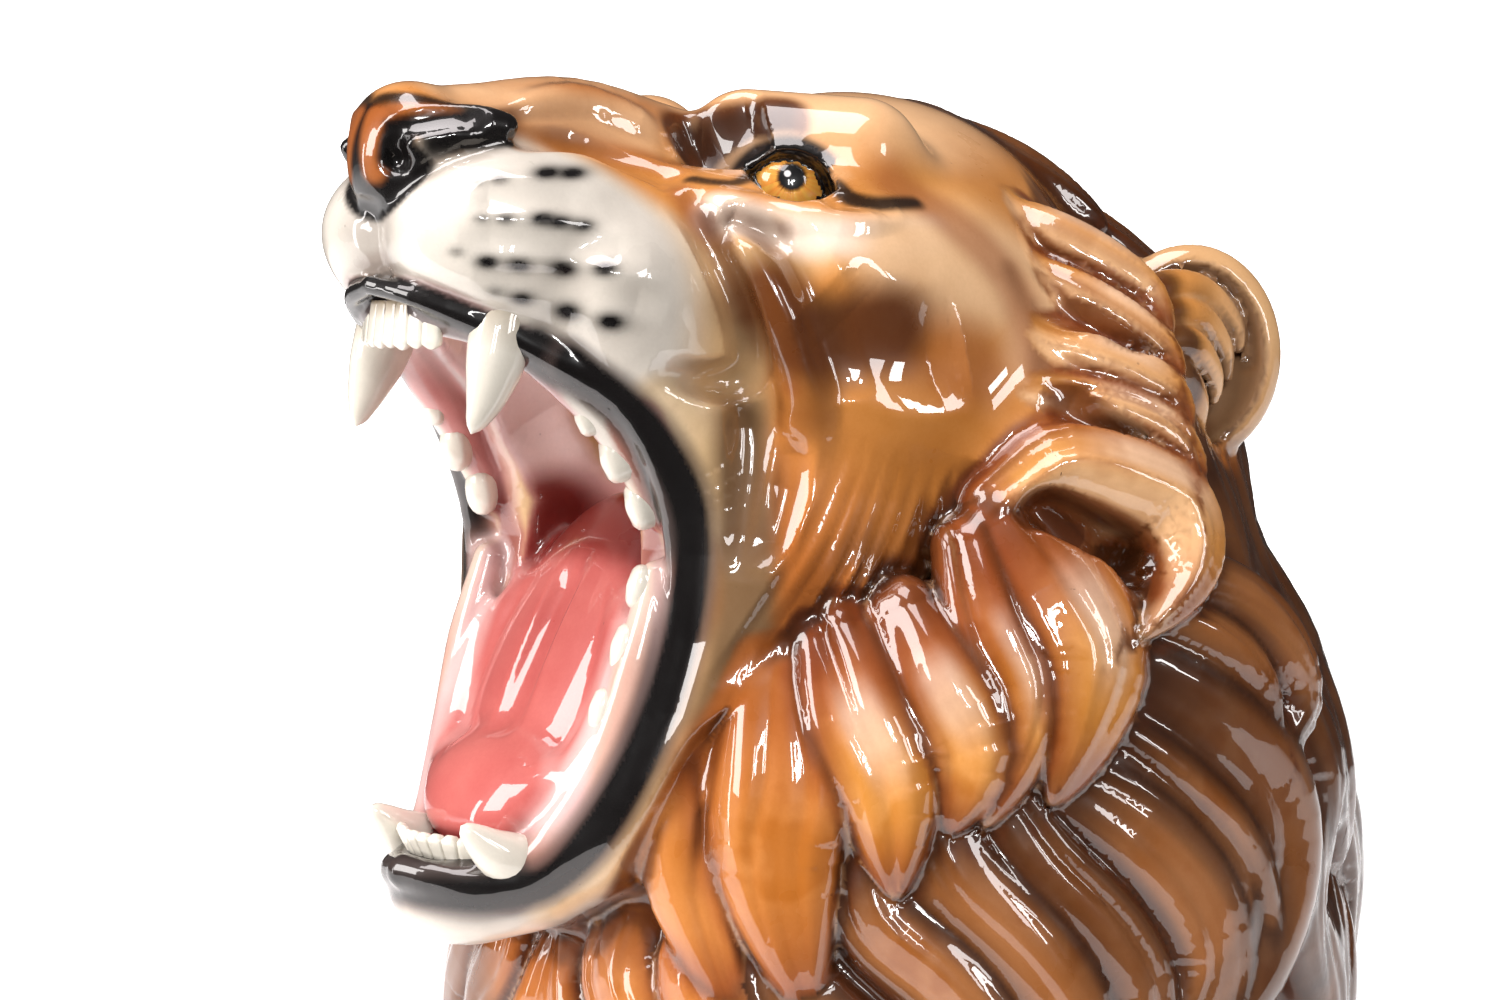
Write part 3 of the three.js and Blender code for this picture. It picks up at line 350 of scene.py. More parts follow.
# Mane seen in the picture: dark locks, then cheek locks, then the ruff round the face
DARK_LOCKS = [
    ([(83, 181), (93, 172), (101, 156), (104, 139), (98, 120)], 18, 16, -0.2),
    ([(78, 172), (88, 161), (95, 145), (98, 122)], 14, 15, -0.2),
    ([(75, 156), (87, 137), (97, 113), (99, 88), (93, 60), (82, 30), (80, -10)], 26, 16, -0.25),
    ([(72, 136), (81, 117), (90, 93), (93, 66), (90, 40), (91, -10)], 17, 14, -0.22),
    ([(66, 122), (76, 104), (84, 80), (86, 56), (79, 26), (73, -14)], 21, 15, -0.2),
    ([(59, 117), (64, 95), (72, 72), (76, 50), (72, 24), (64, -16)], 17, 14, -0.22),
    ([(50, 112), (54, 90), (62, 68), (67, 46), (66, 20), (57, -18)], 20, 14, -0.2),
    ([(42, 98), (45, 78), (53, 60), (58, 38), (54, 12), (46, -22)], 16, 13, -0.15),
    ([(32, 74), (35, 52), (43, 30), (48, 8), (44, -26)], 18, 13, 0.15),
]
BIB_LOCKS = [
    ([(24, 78), (24, 56), (30, 30), (34, -26)], 18, 13, 0.2),
    ([(11, 74), (12, 54), (17, 32), (20, -30)], 17, 13, 0.15),
    ([(0, 64), (2, 42), (6, 20), (7, -26)], 15, 12, 0),
]
CHEEK_LOCKS = [
    ([(63, 202), (68, 180), (71, 160), (69, 139), (65, 114)], 22, 16, 0.22),
    ([(57, 194), (59, 170), (62, 150), (61, 132), (57, 108)], 17, 14, 0),
    ([(47, 172), (51, 149), (55, 130), (53, 106)], 21, 15, -0.25),
    ([(38, 166), (42, 140), (46, 118), (47, 86)], 21, 15, -0.22),
    ([(31, 158), (33, 122), (33, 94), (37, 50)], 25, 16, 0.15),
    ([(22, 138), (22, 110), (23, 84), (29, 44)], 20, 14, 0.2),
]
RUFF_LOCKS = [
    ([(74, 299), (82, 289), (90, 277), (95, 264), (93, 248)], 12, 14, 0.1),
    ([(75, 281), (83, 268), (89, 256), (92, 245), (90, 232)], 11, 13, 0.1),
    ([(71, 258), (79, 251), (86, 242), (90, 232), (89, 218)], 12, 14, 0.1),
    ([(70, 240), (79, 235), (86, 226), (89, 214), (87, 200)], 11, 14, 0.1),
    ([(62, 210), (70, 219), (79, 214), (86, 204), (87, 190), (84, 177), (77, 163)], 15, 18, 0.1),
]
for table, lift, tone, fine in ((DARK_LOCKS, 5, 0.35, 1.0), (BIB_LOCKS, 5, 1.0, 1.0), (CHEEK_LOCKS, 5, 1.0, 1.0), (RUFF_LOCKS, 9, 1.2, 0.4)):
    for n, (spine, width, thick, lean) in enumerate(table):
        shade = tone + (0.17 * math.sin(2.1 * n) if tone < 0.5 else -0.2 * (spine[0][0] < 35))
        lock(spine, width, thick, lift=lift, phase=0.17 * n, tone=shade, lean=lean, fine=fine)
# Grooves between the ruff locks and the hollow under the lowest curl
stroke([(104, -30, 268), (110, -12, 262), (118, -2, 253), (120, 8, 244)], -4, 9)
stroke([(112, -36, 241), (121, -22, 233), (127, -10, 225), (128, 2, 216)], -4, 9)
stroke([(114, -50, 207), (121, -38, 200), (126, -22, 190), (126, -12, 174)], -8, 14)

# Eyes: lid, opening and the socket that holds the eyeball
EYE = np.array((41, -79.5, 305), F)
EYE_RADIUS = 15.2
GAZE = unit((0.78, -0.61, 0.12)).astype(F)
SLIT = unit(np.array((0.62, 0.74, -0.26)) - (np.array((0.62, 0.74, -0.26)) @ GAZE) * GAZE).astype(F)
RISE = -np.cross(SLIT, GAZE).astype(F)
OPENING_HALF, OPENING_TOP, OPENING_LOW = 14.6, 10.2, 8.8


def almond(p):
    """Distance to the edge of the eye opening, depth along the gaze, and distance from the eye's centre."""
    top = (OPENING_HALF ** 2 + OPENING_TOP ** 2) / (2 * OPENING_TOP)
    low = (OPENING_HALF ** 2 + OPENING_LOW ** 2) / (2 * OPENING_LOW)
    q = p - EYE
    u, v = q @ SLIT, q @ RISE
    edge = np.maximum(np.hypot(u, v - (OPENING_TOP - top)) - top, np.hypot(u, v + (OPENING_LOW - low)) - low)
    return edge, q @ GAZE, np.linalg.norm(q, axis=1)


def eye_opening(d, p):
    edge, depth, _ = almond(p)
    return cut(d, np.maximum(edge, -depth).astype(F), 1.5)


def eye_lids(d, p):
    edge, depth, radius = almond(p)
    rim = np.where(depth > 0, np.hypot(edge - 1, radius - 15.8) - 2.4, 50).astype(F)
    return join(d, rim, 2.5)


mass(EYE - GAZE, (17.5, 17.5, 17.5), blend=9)
step(EYE - 22, EYE + 30, eye_opening)
step(EYE - 22, EYE + 22, eye_lids)
mass(EYE, (EYE_RADIUS, EYE_RADIUS, EYE_RADIUS), blend=0.6)

# Ears: shell, cup and the fur inside
EAR_CENTRE = (93, 54, 251)
mass(EAR_CENTRE, (31, 12, 37), (0, 52), 5)
mass((100, 48.5, 251), (24.5, 11, 30), (0, 52), 3, cut)
EAR_TUFTS = [
    [(96, 18, 262), (98, 34, 272), (101, 50, 272), (105, 62, 262), (107, 64, 250)],
    [(98, 16, 254), (101, 32, 264), (104, 46, 263), (106, 56, 253), (107, 58, 242)],
    [(100, 14, 247), (104, 28, 255), (107, 40, 254), (108, 49, 244), (107, 51, 234)],
    [(102, 12, 239), (106, 24, 246), (108, 34, 244), (108, 42, 235), (106, 44, 226)],
]
for line in EAR_TUFTS:
    tube(line, [6.5, 7, 6, 4, 1.5], 2.5)
step((-300, -300, -60), (300, 300, 30), lambda d, p: np.maximum(d, -p[:, 2]))


def body_distance(points, reach=5.0, cell=28.0):
    """Distance to the whole bust at each point, the same on both sides."""
    p = points.astype(F)
    p[:, 0] = np.abs(p[:, 0])
    out = np.empty(len(p), F)
    key = np.floor((p + 400) / cell).astype(np.int64)
    order = np.argsort(key @ np.array([1000000, 1000, 1]), kind="stable")
    groups = np.split(order, np.flatnonzero(np.diff((key @ np.array([1000000, 1000, 1]))[order])) + 1)
    lows, highs = np.array([s[0] for s in steps]), np.array([s[1] for s in steps])
    for group in groups:
        for k in range(0, len(group), 1500):
            i = group[k:k + 1500]
            q = p[i]
            low, high = q.min(0) - reach, q.max(0) + reach
            d = np.full(len(q), 60, F)
            for j in np.flatnonzero((lows < high).all(1) & (highs > low).all(1)):
                d = steps[j][2](d, q)
            out[i] = d
    return out


# Skin of the distance field on a grid that mirrors about x = 0
def sample(gx, gy, gz, side, coarse=4):
    """Field on the grid, worked out only near the skin. side keeps one side of the seam."""
    size = float(gx[1] - gx[0]) * coarse
    index = [np.unique(np.r_[np.arange(0, len(g), coarse), len(g) - 1]) for g in (gx, gy, gz)]
    rough = np.stack(np.meshgrid(gx[index[0]], gy[index[1]], gz[index[2]], indexing="ij"), -1)
    d = np.maximum(body_distance(rough.reshape(-1, 3), reach=size * 1.8).reshape(rough.shape[:3]), side(rough))
    close = np.abs(d) < size * 1.5
    block = np.zeros([s - 1 for s in d.shape], bool)
    for i in (0, 1):
        for j in (0, 1):
            for k in (0, 1):
                block |= close[i:d.shape[0] - 1 + i, j:d.shape[1] - 1 + j, k:d.shape[2] - 1 + k]
    label = [np.minimum(np.arange(len(g)) // coarse, len(index[a]) - 2) for a, g in enumerate((gx, gy, gz))]
    out = np.where(d[:-1, :-1, :-1][np.ix_(*label)] < 0, -size, size).astype(F)
    q = np.argwhere(block[np.ix_(*label)])
    p = np.stack([gx[q[:, 0]], gy[q[:, 1]], gz[q[:, 2]]], 1)
    out[q[:, 0], q[:, 1], q[:, 2]] = np.maximum(body_distance(p), side(p))
    return out


def skin(d, gx, gy, gz):
    """Vertices and outward quads round the negative part of the field."""
    inside = d < 0
    shape = [n - 1 for n in d.shape]
    count = np.zeros(shape, np.int8)
    for i in (0, 1):
        for j in (0, 1):
            for k in (0, 1):
                count += inside[i:shape[0] + i, j:shape[1] + j, k:shape[2] + k]
    active = (count > 0) & (count < 8)
    cells = np.argwhere(active)
    number = -np.ones(shape, np.int64)
    number[active] = np.arange(len(cells))
    total = np.zeros((len(cells), 3))
    hits = np.zeros(len(cells))
    grids = (gx, gy, gz)
    for axis in range(3):
        others = [a for a in range(3) if a != axis]
        for u in (0, 1):
            for v in (0, 1):
                near = cells.copy()
                near[:, others[0]] += u
                near[:, others[1]] += v
                far = near.copy()
                far[:, axis] += 1
                d0, d1 = d[tuple(near.T)], d[tuple(far.T)]
                crossed = (d0 < 0) != (d1 < 0)
                t = np.where(crossed, d0 / np.where(crossed, d0 - d1, 1), 0)
                place = np.stack([grids[a][near[:, a]] for a in range(3)], 1)
                place[:, axis] += t * (grids[axis][far[:, axis]] - grids[axis][near[:, axis]])
                total += place * crossed[:, None]
                hits += crossed
    quads = []
    for axis in range(3):
        u, v = (axis + 1) % 3, (axis + 2) % 3
        lower, upper = [slice(None)] * 3, [slice(None)] * 3
        lower[axis], upper[axis] = slice(0, -1), slice(1, None)
        a, b = inside[tuple(lower)], inside[tuple(upper)]
        edge = np.argwhere(a != b)
        edge = edge[(edge[:, u] > 0) & (edge[:, v] > 0) & (edge[:, u] < d.shape[u] - 1) & (edge[:, v] < d.shape[v] - 1)]
        around = []
        for du, dv in ((1, 1), (0, 1), (0, 0), (1, 0)):
            c = edge.copy()
            c[:, u] -= du
            c[:, v] -= dv
            around.append(number[tuple(c.T)])
        quad = np.stack(around, 1)
        flipped = ~a[tuple(edge.T)]
        quad[flipped] = quad[flipped][:, ::-1]
        quads.append(quad)
    return total / hits[:, None], np.vstack(quads)


def split_quads(verts, quads, flat):
    """Every quad becomes four, except on the flat cuts, where it only takes up its neighbours' new corners."""
    whole = flat[quads].all(1)
    sides = np.sort(np.stack([quads, np.roll(quads, -1, axis=1)], 2), axis=2)
    ends, at = np.unique(sides[~whole].reshape(-1, 2), axis=0, return_inverse=True)
    at = at.reshape(-1, 4) + len(verts)
    split = quads[~whole]
    centre = np.arange(len(split)) + len(verts) + len(ends)
    faces = np.vstack([np.stack([split[:, i], at[:, i], centre, at[:, i - 1]], 1) for i in range(4)]).tolist()
    on_rim = np.flatnonzero(flat[ends].all(1))
    added = {tuple(ends[i]): int(i) + len(verts) for i in on_rim}
    for quad, pairs in zip(quads[whole].tolist(), sides[whole].tolist()):
        corners = [(corner, added.get(tuple(pair))) for corner, pair in zip(quad, pairs)]
        faces.append([place for pair in corners for place in pair if place is not None])
    middle = (verts[ends[:, 0]] + verts[ends[:, 1]]) / 2
    return np.vstack([verts, middle, verts[split].mean(1)]), faces


def one_side(verts):
    """The distinct places once both sides are folded together, and where each vertex finds its own."""
    folded = verts.copy()
    folded[:, 0] = np.abs(folded[:, 0])
    _, first, back = np.unique(np.round(folded, 3), axis=0, return_index=True, return_inverse=True)
    return folded[first], back.reshape(-1)


def slope(points, size=0.35):
    """Distance and outward direction, from four nearby readings."""
    corners = np.array([(1, 1, 1), (1, -1, -1), (-1, 1, -1), (-1, -1, 1)], float) * size
    d = [body_distance(points + c) for c in corners]
    g = sum(v[:, None] * c for v, c in zip(d, corners))
    n = g / (np.linalg.norm(g, axis=1)[:, None] + 1e-9)
    steep = np.linalg.norm(g, axis=1) / (4 * size * size)
    return sum(d) / 4, n, np.clip(steep, 0.4, 1.6)


FLAT = 0.01  # this near to a cut, a vertex lies on it


def carve(side, size, low, high):
    """One piece of the bust: vertices in mm, faces, outward normals and how hollow the skin is."""
    half = math.ceil(high[0] / size) + 0.5
    gx = np.arange(0.5, half + 0.1) * size
    gy, gz = np.arange(low[1], high[1], size), np.arange(max(low[2], -1.5 * size), high[2], size)
    d = sample(np.r_[-gx[0], gx], gy, gz, side)
    verts, quads = skin(np.concatenate([d[:0:-1], d[1:]]), np.r_[-gx[::-1], gx], gy, gz)
    flat = np.maximum(side(verts), -verts[:, 2]) > -FLAT
    verts, faces = split_quads(verts, quads, flat)
    places, back = one_side(verts)
    dist, normal, steep = slope(places)
    free = (side(places) < -0.3) & (places[:, 2] > 0.3)
    places[free] -= (np.clip(dist / steep, -1.5, 1.5)[:, None] * normal)[free]
    hollow = [np.clip((r - body_distance(places + r * normal)) / r, 0, 1.5) for r in (4.0, 12.0)]
    crest = np.clip((8.0 + body_distance(places - 8.0 * normal)) / 8.0, 0, 1.5)
    turn = np.where(verts[:, 0] < 0, -1.0, 1.0)
    flip = np.stack([turn, np.ones(len(turn)), np.ones(len(turn))], 1)
    return places[back] * flip, faces, normal[back] * flip, [h[back] for h in hollow], crest[back]


def fold(a, b, x):
    """0 below a, 1 above b, smooth between."""
    t = np.clip((x - a) / (b - a), 0, 1)
    return t * t * (3 - 2 * t)


def near_line(p, points, width, soft):
    """1 within width of a line of places, fading to 0 over soft."""
    path = smooth_path(points) if len(points) > 2 else np.array(points, F)
    out = np.zeros(len(p))
    low, high = path.min(0) - width - soft, path.max(0) + width + soft
    i = np.flatnonzero((p > low).all(1) & (p < high).all(1))
    if len(i):
        out[i] = 1 - fold(width, width + soft, nearest(p[i].astype(F), path)[0])
    return out


OUTWARD = unit((0.6, -0.8, 0.0))


def flattened(p):
    """Places with their depth through the muzzle's skin mostly taken out."""
    p = np.asarray(p, float)
    return p - 0.75 * (p @ OUTWARD)[..., None] * OUTWARD


def near_place(p, centre, radii, turn=(0, 0), soft=0.5):
    """1 inside an ellipsoid, fading to 0 towards (1 + soft / 2) times its size."""
    q = ((p - np.array(centre)) @ turned(*turn).T) / np.array(radii, float)
    return 1 - fold(1 - soft * 0.5, 1 + soft * 0.5, np.sqrt((q * q).sum(1)))


# Glaze colours, linear
CREAM, WARM_CREAM, GREY_CREAM = (0.74, 0.69, 0.61), (0.80, 0.56, 0.30), (0.20, 0.115, 0.055)
# grey of painted shade on the muzzle and chin
SHADE_GREY = (0.34, 0.30, 0.27)
PALE = (0.92, 0.78, 0.66)
ORANGE, LIGHT_ORANGE, PEACH, GOLD = (0.52, 0.16, 0.03), (0.74, 0.33, 0.09), (0.86, 0.54, 0.30), (0.62, 0.24, 0.04)
RED_BROWN, BROWN, DARK_BROWN = (0.28, 0.06, 0.012), (0.12, 0.032, 0.008), (0.045, 0.015, 0.006)
MANE, MANE_CENTRE, BLACK = (0.070, 0.024, 0.009), (0.35, 0.13, 0.042), (0.006, 0.005, 0.005)
PINK, PALE_PINK, TONGUE, THROAT = (0.70, 0.34, 0.32), (0.92, 0.74, 0.72), (0.56, 0.12, 0.11), (0.20, 0.025, 0.02)
NOSE_CENTRE, LIP_GREY, GUM = (0.36, 0.10, 0.02), (0.07, 0.05, 0.045), (0.46, 0.22, 0.17)

# Painted places on one side. Whisker spots: place, size, strength. Shades: line, width, soft edge, strength; the rows
# marked below paint shade or highlight
WHISKER_ROWS = [
    [(37, -199, 306, 1.6, 0.5), (41, -194, 307, 1.8, 0.7), (45, -179, 309, 2.4, 1), (46, -170, 309, 2.4, 1)],
    [(42, -201, 295, 1.5, 0.6), (46, -195, 295, 1.8, 0.8), (51, -185, 295, 2.3, 1), (53, -180, 294, 2.1, 1),
     (55, -173, 293, 2.0, 0.9)],
    [(36, -206, 285, 1.6, 0.5), (42, -199, 282, 2.3, 1), (47, -191, 281, 2.3, 1), (53, -179, 280, 2.7, 1),
     (62, -170, 280, 2.5, 1)],
    [(40, -195, 273, 1.9, 0.5), (43, -187, 271, 2.4, 0.9), (50, -175, 267, 3.1, 1), (62, -168, 264, 3.0, 1)],
]
SHADES = [
    # painted shade in the hollow above the inner eye
    (BROWN, [(17, -106, 320), (27, -98, 321), (36, -92, 323), (46, -89, 326)], 9, 5, 0.97),
    (DARK_BROWN, [(22, -102, 318), (30, -97, 320), (38, -92, 323)], 7, 6, 0.9),
    (DARK_BROWN, [(26, -100, 316), (36, -94, 318), (48, -90, 323), (47, -87, 330)], 2, 5, 0.8),
    # pale band under the eye: lighter glaze and painted highlight both
    (PALE, [(62, -127, 297), (73, -112, 292), (86, -98, 289), (93, -80, 289), (94, -62, 292)], 3, 8, 0.85),
    (PEACH, [(96, -76, 281), (98, -52, 280), (100, -24, 272), (110, -26, 256)], 10, 18, 0.95),
    # painted highlight along the side of the bridge
    (PEACH, [(10, -192, 334), (15, -174, 332), (20, -154, 329), (25, -128, 324)], 4, 9, 0.6),
    # painted highlights where the ruff locks start
    (PALE, [(107, -12, 272), (114, -3, 267)], 2.5, 6, 0.8),
    (PALE, [(120, -20, 249), (129, -8, 243)], 2.5, 6, 0.8),
    (PEACH, [(128, -40, 222), (136, -28, 217), (141, -20, 212)], 4, 7, 0.8),
    (RED_BROWN, [(27, -160, 325), (30, -140, 318), (40, -122, 314)], 2, 8, 0.45),
    (RED_BROWN, [(51, -132, 303), (65, -129, 286), (71, -122, 266)], 1, 6, 0.6),
    (BROWN, [(70, -121, 264), (70, -119, 252), (65, -126, 245)], 1, 4, 0.55),
    (BROWN, [(66, -124, 296), (71, -118, 293), (76, -113, 291)], 1.5, 5, 0.55),
    (BROWN, [(72, -118, 284), (84, -110, 266), (86, -106, 250), (84, -108, 236)], 3, 9, 0.55),
    (RED_BROWN, [(78, -118, 276), (83, -114, 258), (82, -112, 244)], 1, 5, 0.6),
    # brown in the hollow below the cheekbone: the glaze's own brown deepened by painted shade
    (RED_BROWN, [(94, -86, 262), (101, -70, 255), (104, -58, 250)], 5, 16, 0.5),
    (BROWN, [(80, -123, 270), (86, -116, 259), (91, -99, 259), (95, -85, 261)], 7, 13, 0.92),
    (GREY_CREAM, [(66, -123, 232), (70, -123, 214), (74, -124, 190), (74, -126, 166), (67, -132, 140)], 5, 9, 0.95),
    (RED_BROWN, [(80, -67, 308), (92, -51, 294), (101, -34, 274), (112, -33, 250)], 3, 12, 0.6),
    (BROWN, [(100, -34, 280), (108, -30, 264), (112, -34, 250)], 1, 7, 0.6),
    # painted shade along the groove where the jaw meets the mane
    (RED_BROWN, [(66, -138, 128), (77, -116, 147), (88, -94, 160), (97, -76, 166), (108, -52, 182)], 3, 12, 0.7),
    (BROWN, [(39, -150, 84), (57, -145, 106), (67, -135, 131), (77, -114, 145)], 1, 5, 0.7),
    # painted shade in the hollow under the lowest ruff curl
    (BROWN, [(122, -36, 208), (128, -24, 200), (127, -7, 182), (127, 1, 165)], 4, 10, 0.95),
    (RED_BROWN, [(108, -44, 200), (112, -42, 182), (108, -50, 164)], 4, 12, 0.6),
]


def paint(p, hollow, crest):
    """Glaze colour at every vertex from where it lies on the animal, and the place across and along its lock."""
    q = np.stack([np.abs(p[:, 0]), p[:, 1], p[:, 2]], 1)
    x, y, z = q.T
    tight, wide = hollow
    close, second, tone = np.full(len(q), 1.9), np.full(len(q), 3.0), np.full(len(q), 0.2)
    share, across = np.zeros(len(q)), np.zeros(len(q))
    for low, high, local, lock_tone in locks:
        i = np.flatnonzero((q > low).all(1) & (q < high).all(1))
        if len(i):
            e, s, c, _ = local(q[i].astype(F))
            j = e < close[i]
            second[i] = np.where(j, close[i], np.minimum(second[i], e))
            i = i[j]
            close[i], share[i], across[i], tone[i] = e[j], s[j], c[j], lock_tone
    colour = np.tile(ORANGE, (len(q), 1))

    def over(shade, amount):
        colour[:] += (np.array(shade) - colour) * np.clip(amount, 0, 1)[:, None]

    # Head: golden, lighter on the brow and below the eye
    over(LIGHT_ORANGE, fold(200, 262, z) * 0.6)
    over(GOLD, near_place(q, (104, -66, 226), (34, 44, 44), soft=1.2) * 0.55)
    over(PEACH, near_place(q, (30, -62, 330), (56, 60, 22), soft=1.2) * 0.65)
    over(WARM_CREAM, near_place(q, (74, -106, 286), (20, 30, 9), soft=1.2) * 0.6)
    over(LIGHT_ORANGE, near_place(q, (88, -52, 298), (20, 24, 18), soft=1.2) * 0.8)
    over(PEACH, near_place(q, (96, -48, 290), (18, 34, 24), soft=1.2) * 0.45)
    # painted sheen: pale peach on the crown where the forehead catches light
    over(PEACH, near_place(q, (56, -36, 336), (34, 40, 22), soft=1.2) * 0.75)
    over(RED_BROWN, near_place(q, (16, -150, 330), (22, 44, 14), soft=1.0) * 0.55)
    # painted highlight along the top of the bridge
    over(PEACH, near_place(q, (0, -150, 338), (13, 60, 10), soft=1.0) * 0.5)
    # Muzzle, lips and chin
    edge = 0.75 * (y + 128) + 1.0 * (z - 262)
    muzzle = (1 - fold(-2, 14, edge - 20)) * (1 - fold(70, 80, x - 0.1 * (z - 260))) * fold(150, 200, z) * (y < -100)
    bridge = near_line(q, [(0, -216, 332), (0, -170, 334), (0, -130, 334)], 20, 9)
    muzzle = muzzle * (1 - bridge)
    over(WARM_CREAM, muzzle * 0.85)
    over(CREAM, muzzle * (1 - fold(-152, -128, y)))
    # painted shade: grey on the front of the muzzle pads
    over(SHADE_GREY, near_place(q, (0, -218, 290), (15, 14, 26), soft=1.2) * 0.7)
    over(CREAM, near_place(q, (18, -178, 72), (46, 40, 30), (22, 0), 0.8))
    # painted shade: grey on the chin beside the black lip
    over(SHADE_GREY, near_line(q, [(0, -207, 80), (14, -202, 80), (27, -190, 79), (36, -176, 80)], 3, 8) * 0.6)
    over(WARM_CREAM, near_line(q, [(34, -168, 88), (54, -152, 106), (66, -138, 132), (72, -126, 160)], 7, 10) * 0.75)
    over(GREY_CREAM, near_line(q, [(64, -138, 214), (70, -130, 196), (72, -128, 168)], 6, 9) * 0.6)
    over(WARM_CREAM, near_line(q, [(60, -148, 240), (66, -140, 225), (70, -132, 206)], 5, 8) * 0.7)
    # Throat and bib under the jaw
    below = (1 - fold(86, 112, z + 0.5 * (y + 150))) * (1 - fold(-30, 0, y)) * (y > -150)
    over(ORANGE, below * 0.6)
    for shade, line, width, soft, strength in SHADES:
        over(shade, near_line(q, line, width, soft) * strength)
    flat = flattened(q)
    for spot_x, spot_y, spot_z, spot, strength in sum(WHISKER_ROWS, []):
        away = flat - flattened((spot_x, spot_y, spot_z))
        round_away = np.hypot(np.hypot(away[:, 0], away[:, 1]) / 1.7, away[:, 2]) / spot
        over(BLACK, np.exp(-round_away ** 2) * 1.25 * strength * (y < -120))

    # Locks of the mane
    ear = near_place(q, (95, 52, 251), (38, 22, 42), (0, 52), 0.2)
    mane = np.maximum(1 - fold(1.2, 1.5, close), fold(10, 40, y)) * (1 - ear)
    # rim and seam: near where a lock meets its neighbour, for painted shade there
    centre, rim = np.clip(1 - across ** 2, 0, 1), 1 - fold(0.05, 0.6, second - close)
    seam = 1 - fold(0.0, 0.25, second - close)
    dark = mane * (1 - fold(0.5, 0.9, tone))
    middle = fold(0.02, 0.3, share) * (1 - fold(0.6, 0.98, share))
    over(MANE, dark)
    over(MANE_CENTRE, dark * fold(0.25, 0.95, centre) * middle * np.clip(tone * 2.6, 0.3, 1.0))
    # painted shade at the seams between dark locks
    over(DARK_BROWN, dark * np.maximum(rim * 0.6, seam * 0.9))
    light = mane * fold(0.5, 0.9, tone)
    over(RED_BROWN, light * (1 - fold(0.05, 0.5, share)) * 0.9)
    over(BROWN, light * (1 - fold(0.0, 0.25, share)) * 0.6)
    over(GOLD, light * fold(0.2, 0.55, share) * 0.9)
    over(ORANGE, light * (1 - fold(0.8, 1.0, tone)) * 0.75)
    over(LIGHT_ORANGE, light * fold(0.1, 0.9, centre) * fold(0.3, 0.65, share) * fold(0.75, 1.0, tone) * 0.85)
    ruff = light * fold(1.05, 1.15, tone)
    # ruff locks: light orange on one side, lighter peach on the other as a painted highlight
    over(LIGHT_ORANGE, ruff * fold(-0.8, -0.1, across) * 0.85)
    over(PEACH, ruff * fold(-0.1, 0.6, across) * 0.8)
    # painted highlight: a pale band down each light lock
    painted_highlight = (1 - fold(0.15, 0.55, np.abs(across + 0.2))) * fold(0.15, 0.35, share) * (1 - fold(0.45, 0.75, share))
    over(PALE, light * painted_highlight * fold(0.85, 1.0, tone) * 0.4)
    over(RED_BROWN, light * fold(0.68, 0.92, share) * 0.7)
    over(BROWN, light * fold(0.82, 1.0, share) * 0.6)
    # painted shade at the seams between light locks
    over(RED_BROWN, light * rim * 0.75)
    over(BROWN, light * seam * 0.85)
    far_side = fold(12, 40, -p[:, 0]) * (1 - fold(80, 115, z)) * (1 - fold(-70, -20, y))
    over(MANE, mane * far_side * 0.8)

    # Ears
    rim = near_place(q, (93, 54, 251), (31, 12, 37), (0, 52), 0.2)
    cup = near_place(q, (100, 48.5, 251), (24, 12, 29), (0, 52), 0.3)
    over(WARM_CREAM, rim)
    over(PEACH, rim * 0.5)
    over(BROWN, cup)
    for line in EAR_TUFTS:
        over(LIGHT_ORANGE, near_line(q, line, 5, 3) * ear)
        over(PEACH, near_line(q, line, 3, 3) * ear * 0.6)
    # painted shade in the hollows of the ear
    over(BROWN, ear * fold(0.15, 0.6, tight) * 0.9)
    behind = ((q - np.array(EAR_CENTRE)) @ turned(0, 52).T)[:, 1]
    over(MANE, ear * fold(2, 9, behind) * 0.8)

    # Painted shade gathered in the hollows, also standing for glaze pooled there, and a painted highlight on the ridges
    gape = outline_distance(y, z, GAPE)
    for line, radii in ((PALATE, PALATE_RADII), (JAW_FLOOR, FLOOR_RADII)):
        path = smooth_path(line)
        away, along, _ = nearest(q.astype(F), path)
        gape = np.minimum(gape, away - np.interp(along, np.linspace(0, 1, len(radii)), radii) - 2)
    inside = near_line(q, PALATE + JAW_FLOOR[::-1], 42, 4) * (1 - fold(-1, 2, gape))
    shaded = (1 - inside) * (1 - muzzle * 0.6)
    # painted shade: browner in the hollows, also standing for glaze pooled there
    over(RED_BROWN, ruff * fold(0.12, 0.5, wide) * 0.7)
    over(BROWN, shaded * fold(0.16, 0.6, wide) * (0.75 - 0.35 * ruff))
    over(DARK_BROWN, shaded * fold(0.12, 0.6, tight) * (0.45 + 0.4 * mane - 0.35 * ruff))
    # painted highlight: lighter peach on the ridges
    over(PEACH, (1 - dark) * (1 - inside) * fold(0.30, 0.75, crest) * 0.35)

    # Mouth
    tongue = near_line(q, [(0, -126, 196), (0, -138, 160), (0, -166, 118)], 30, 6) * inside * (y > -190)
    over(PINK, inside)
    over(PALE_PINK, inside * near_line(q, PALATE, 27, 10) * fold(200, 222, z))
    over(TONGUE, tongue * (1 - fold(190, 200, z)))
    # painted highlight: lighter pink on the tongue's rounded ridges
    over(PINK, tongue * fold(-0.1, 0.5, crest) * 0.6)
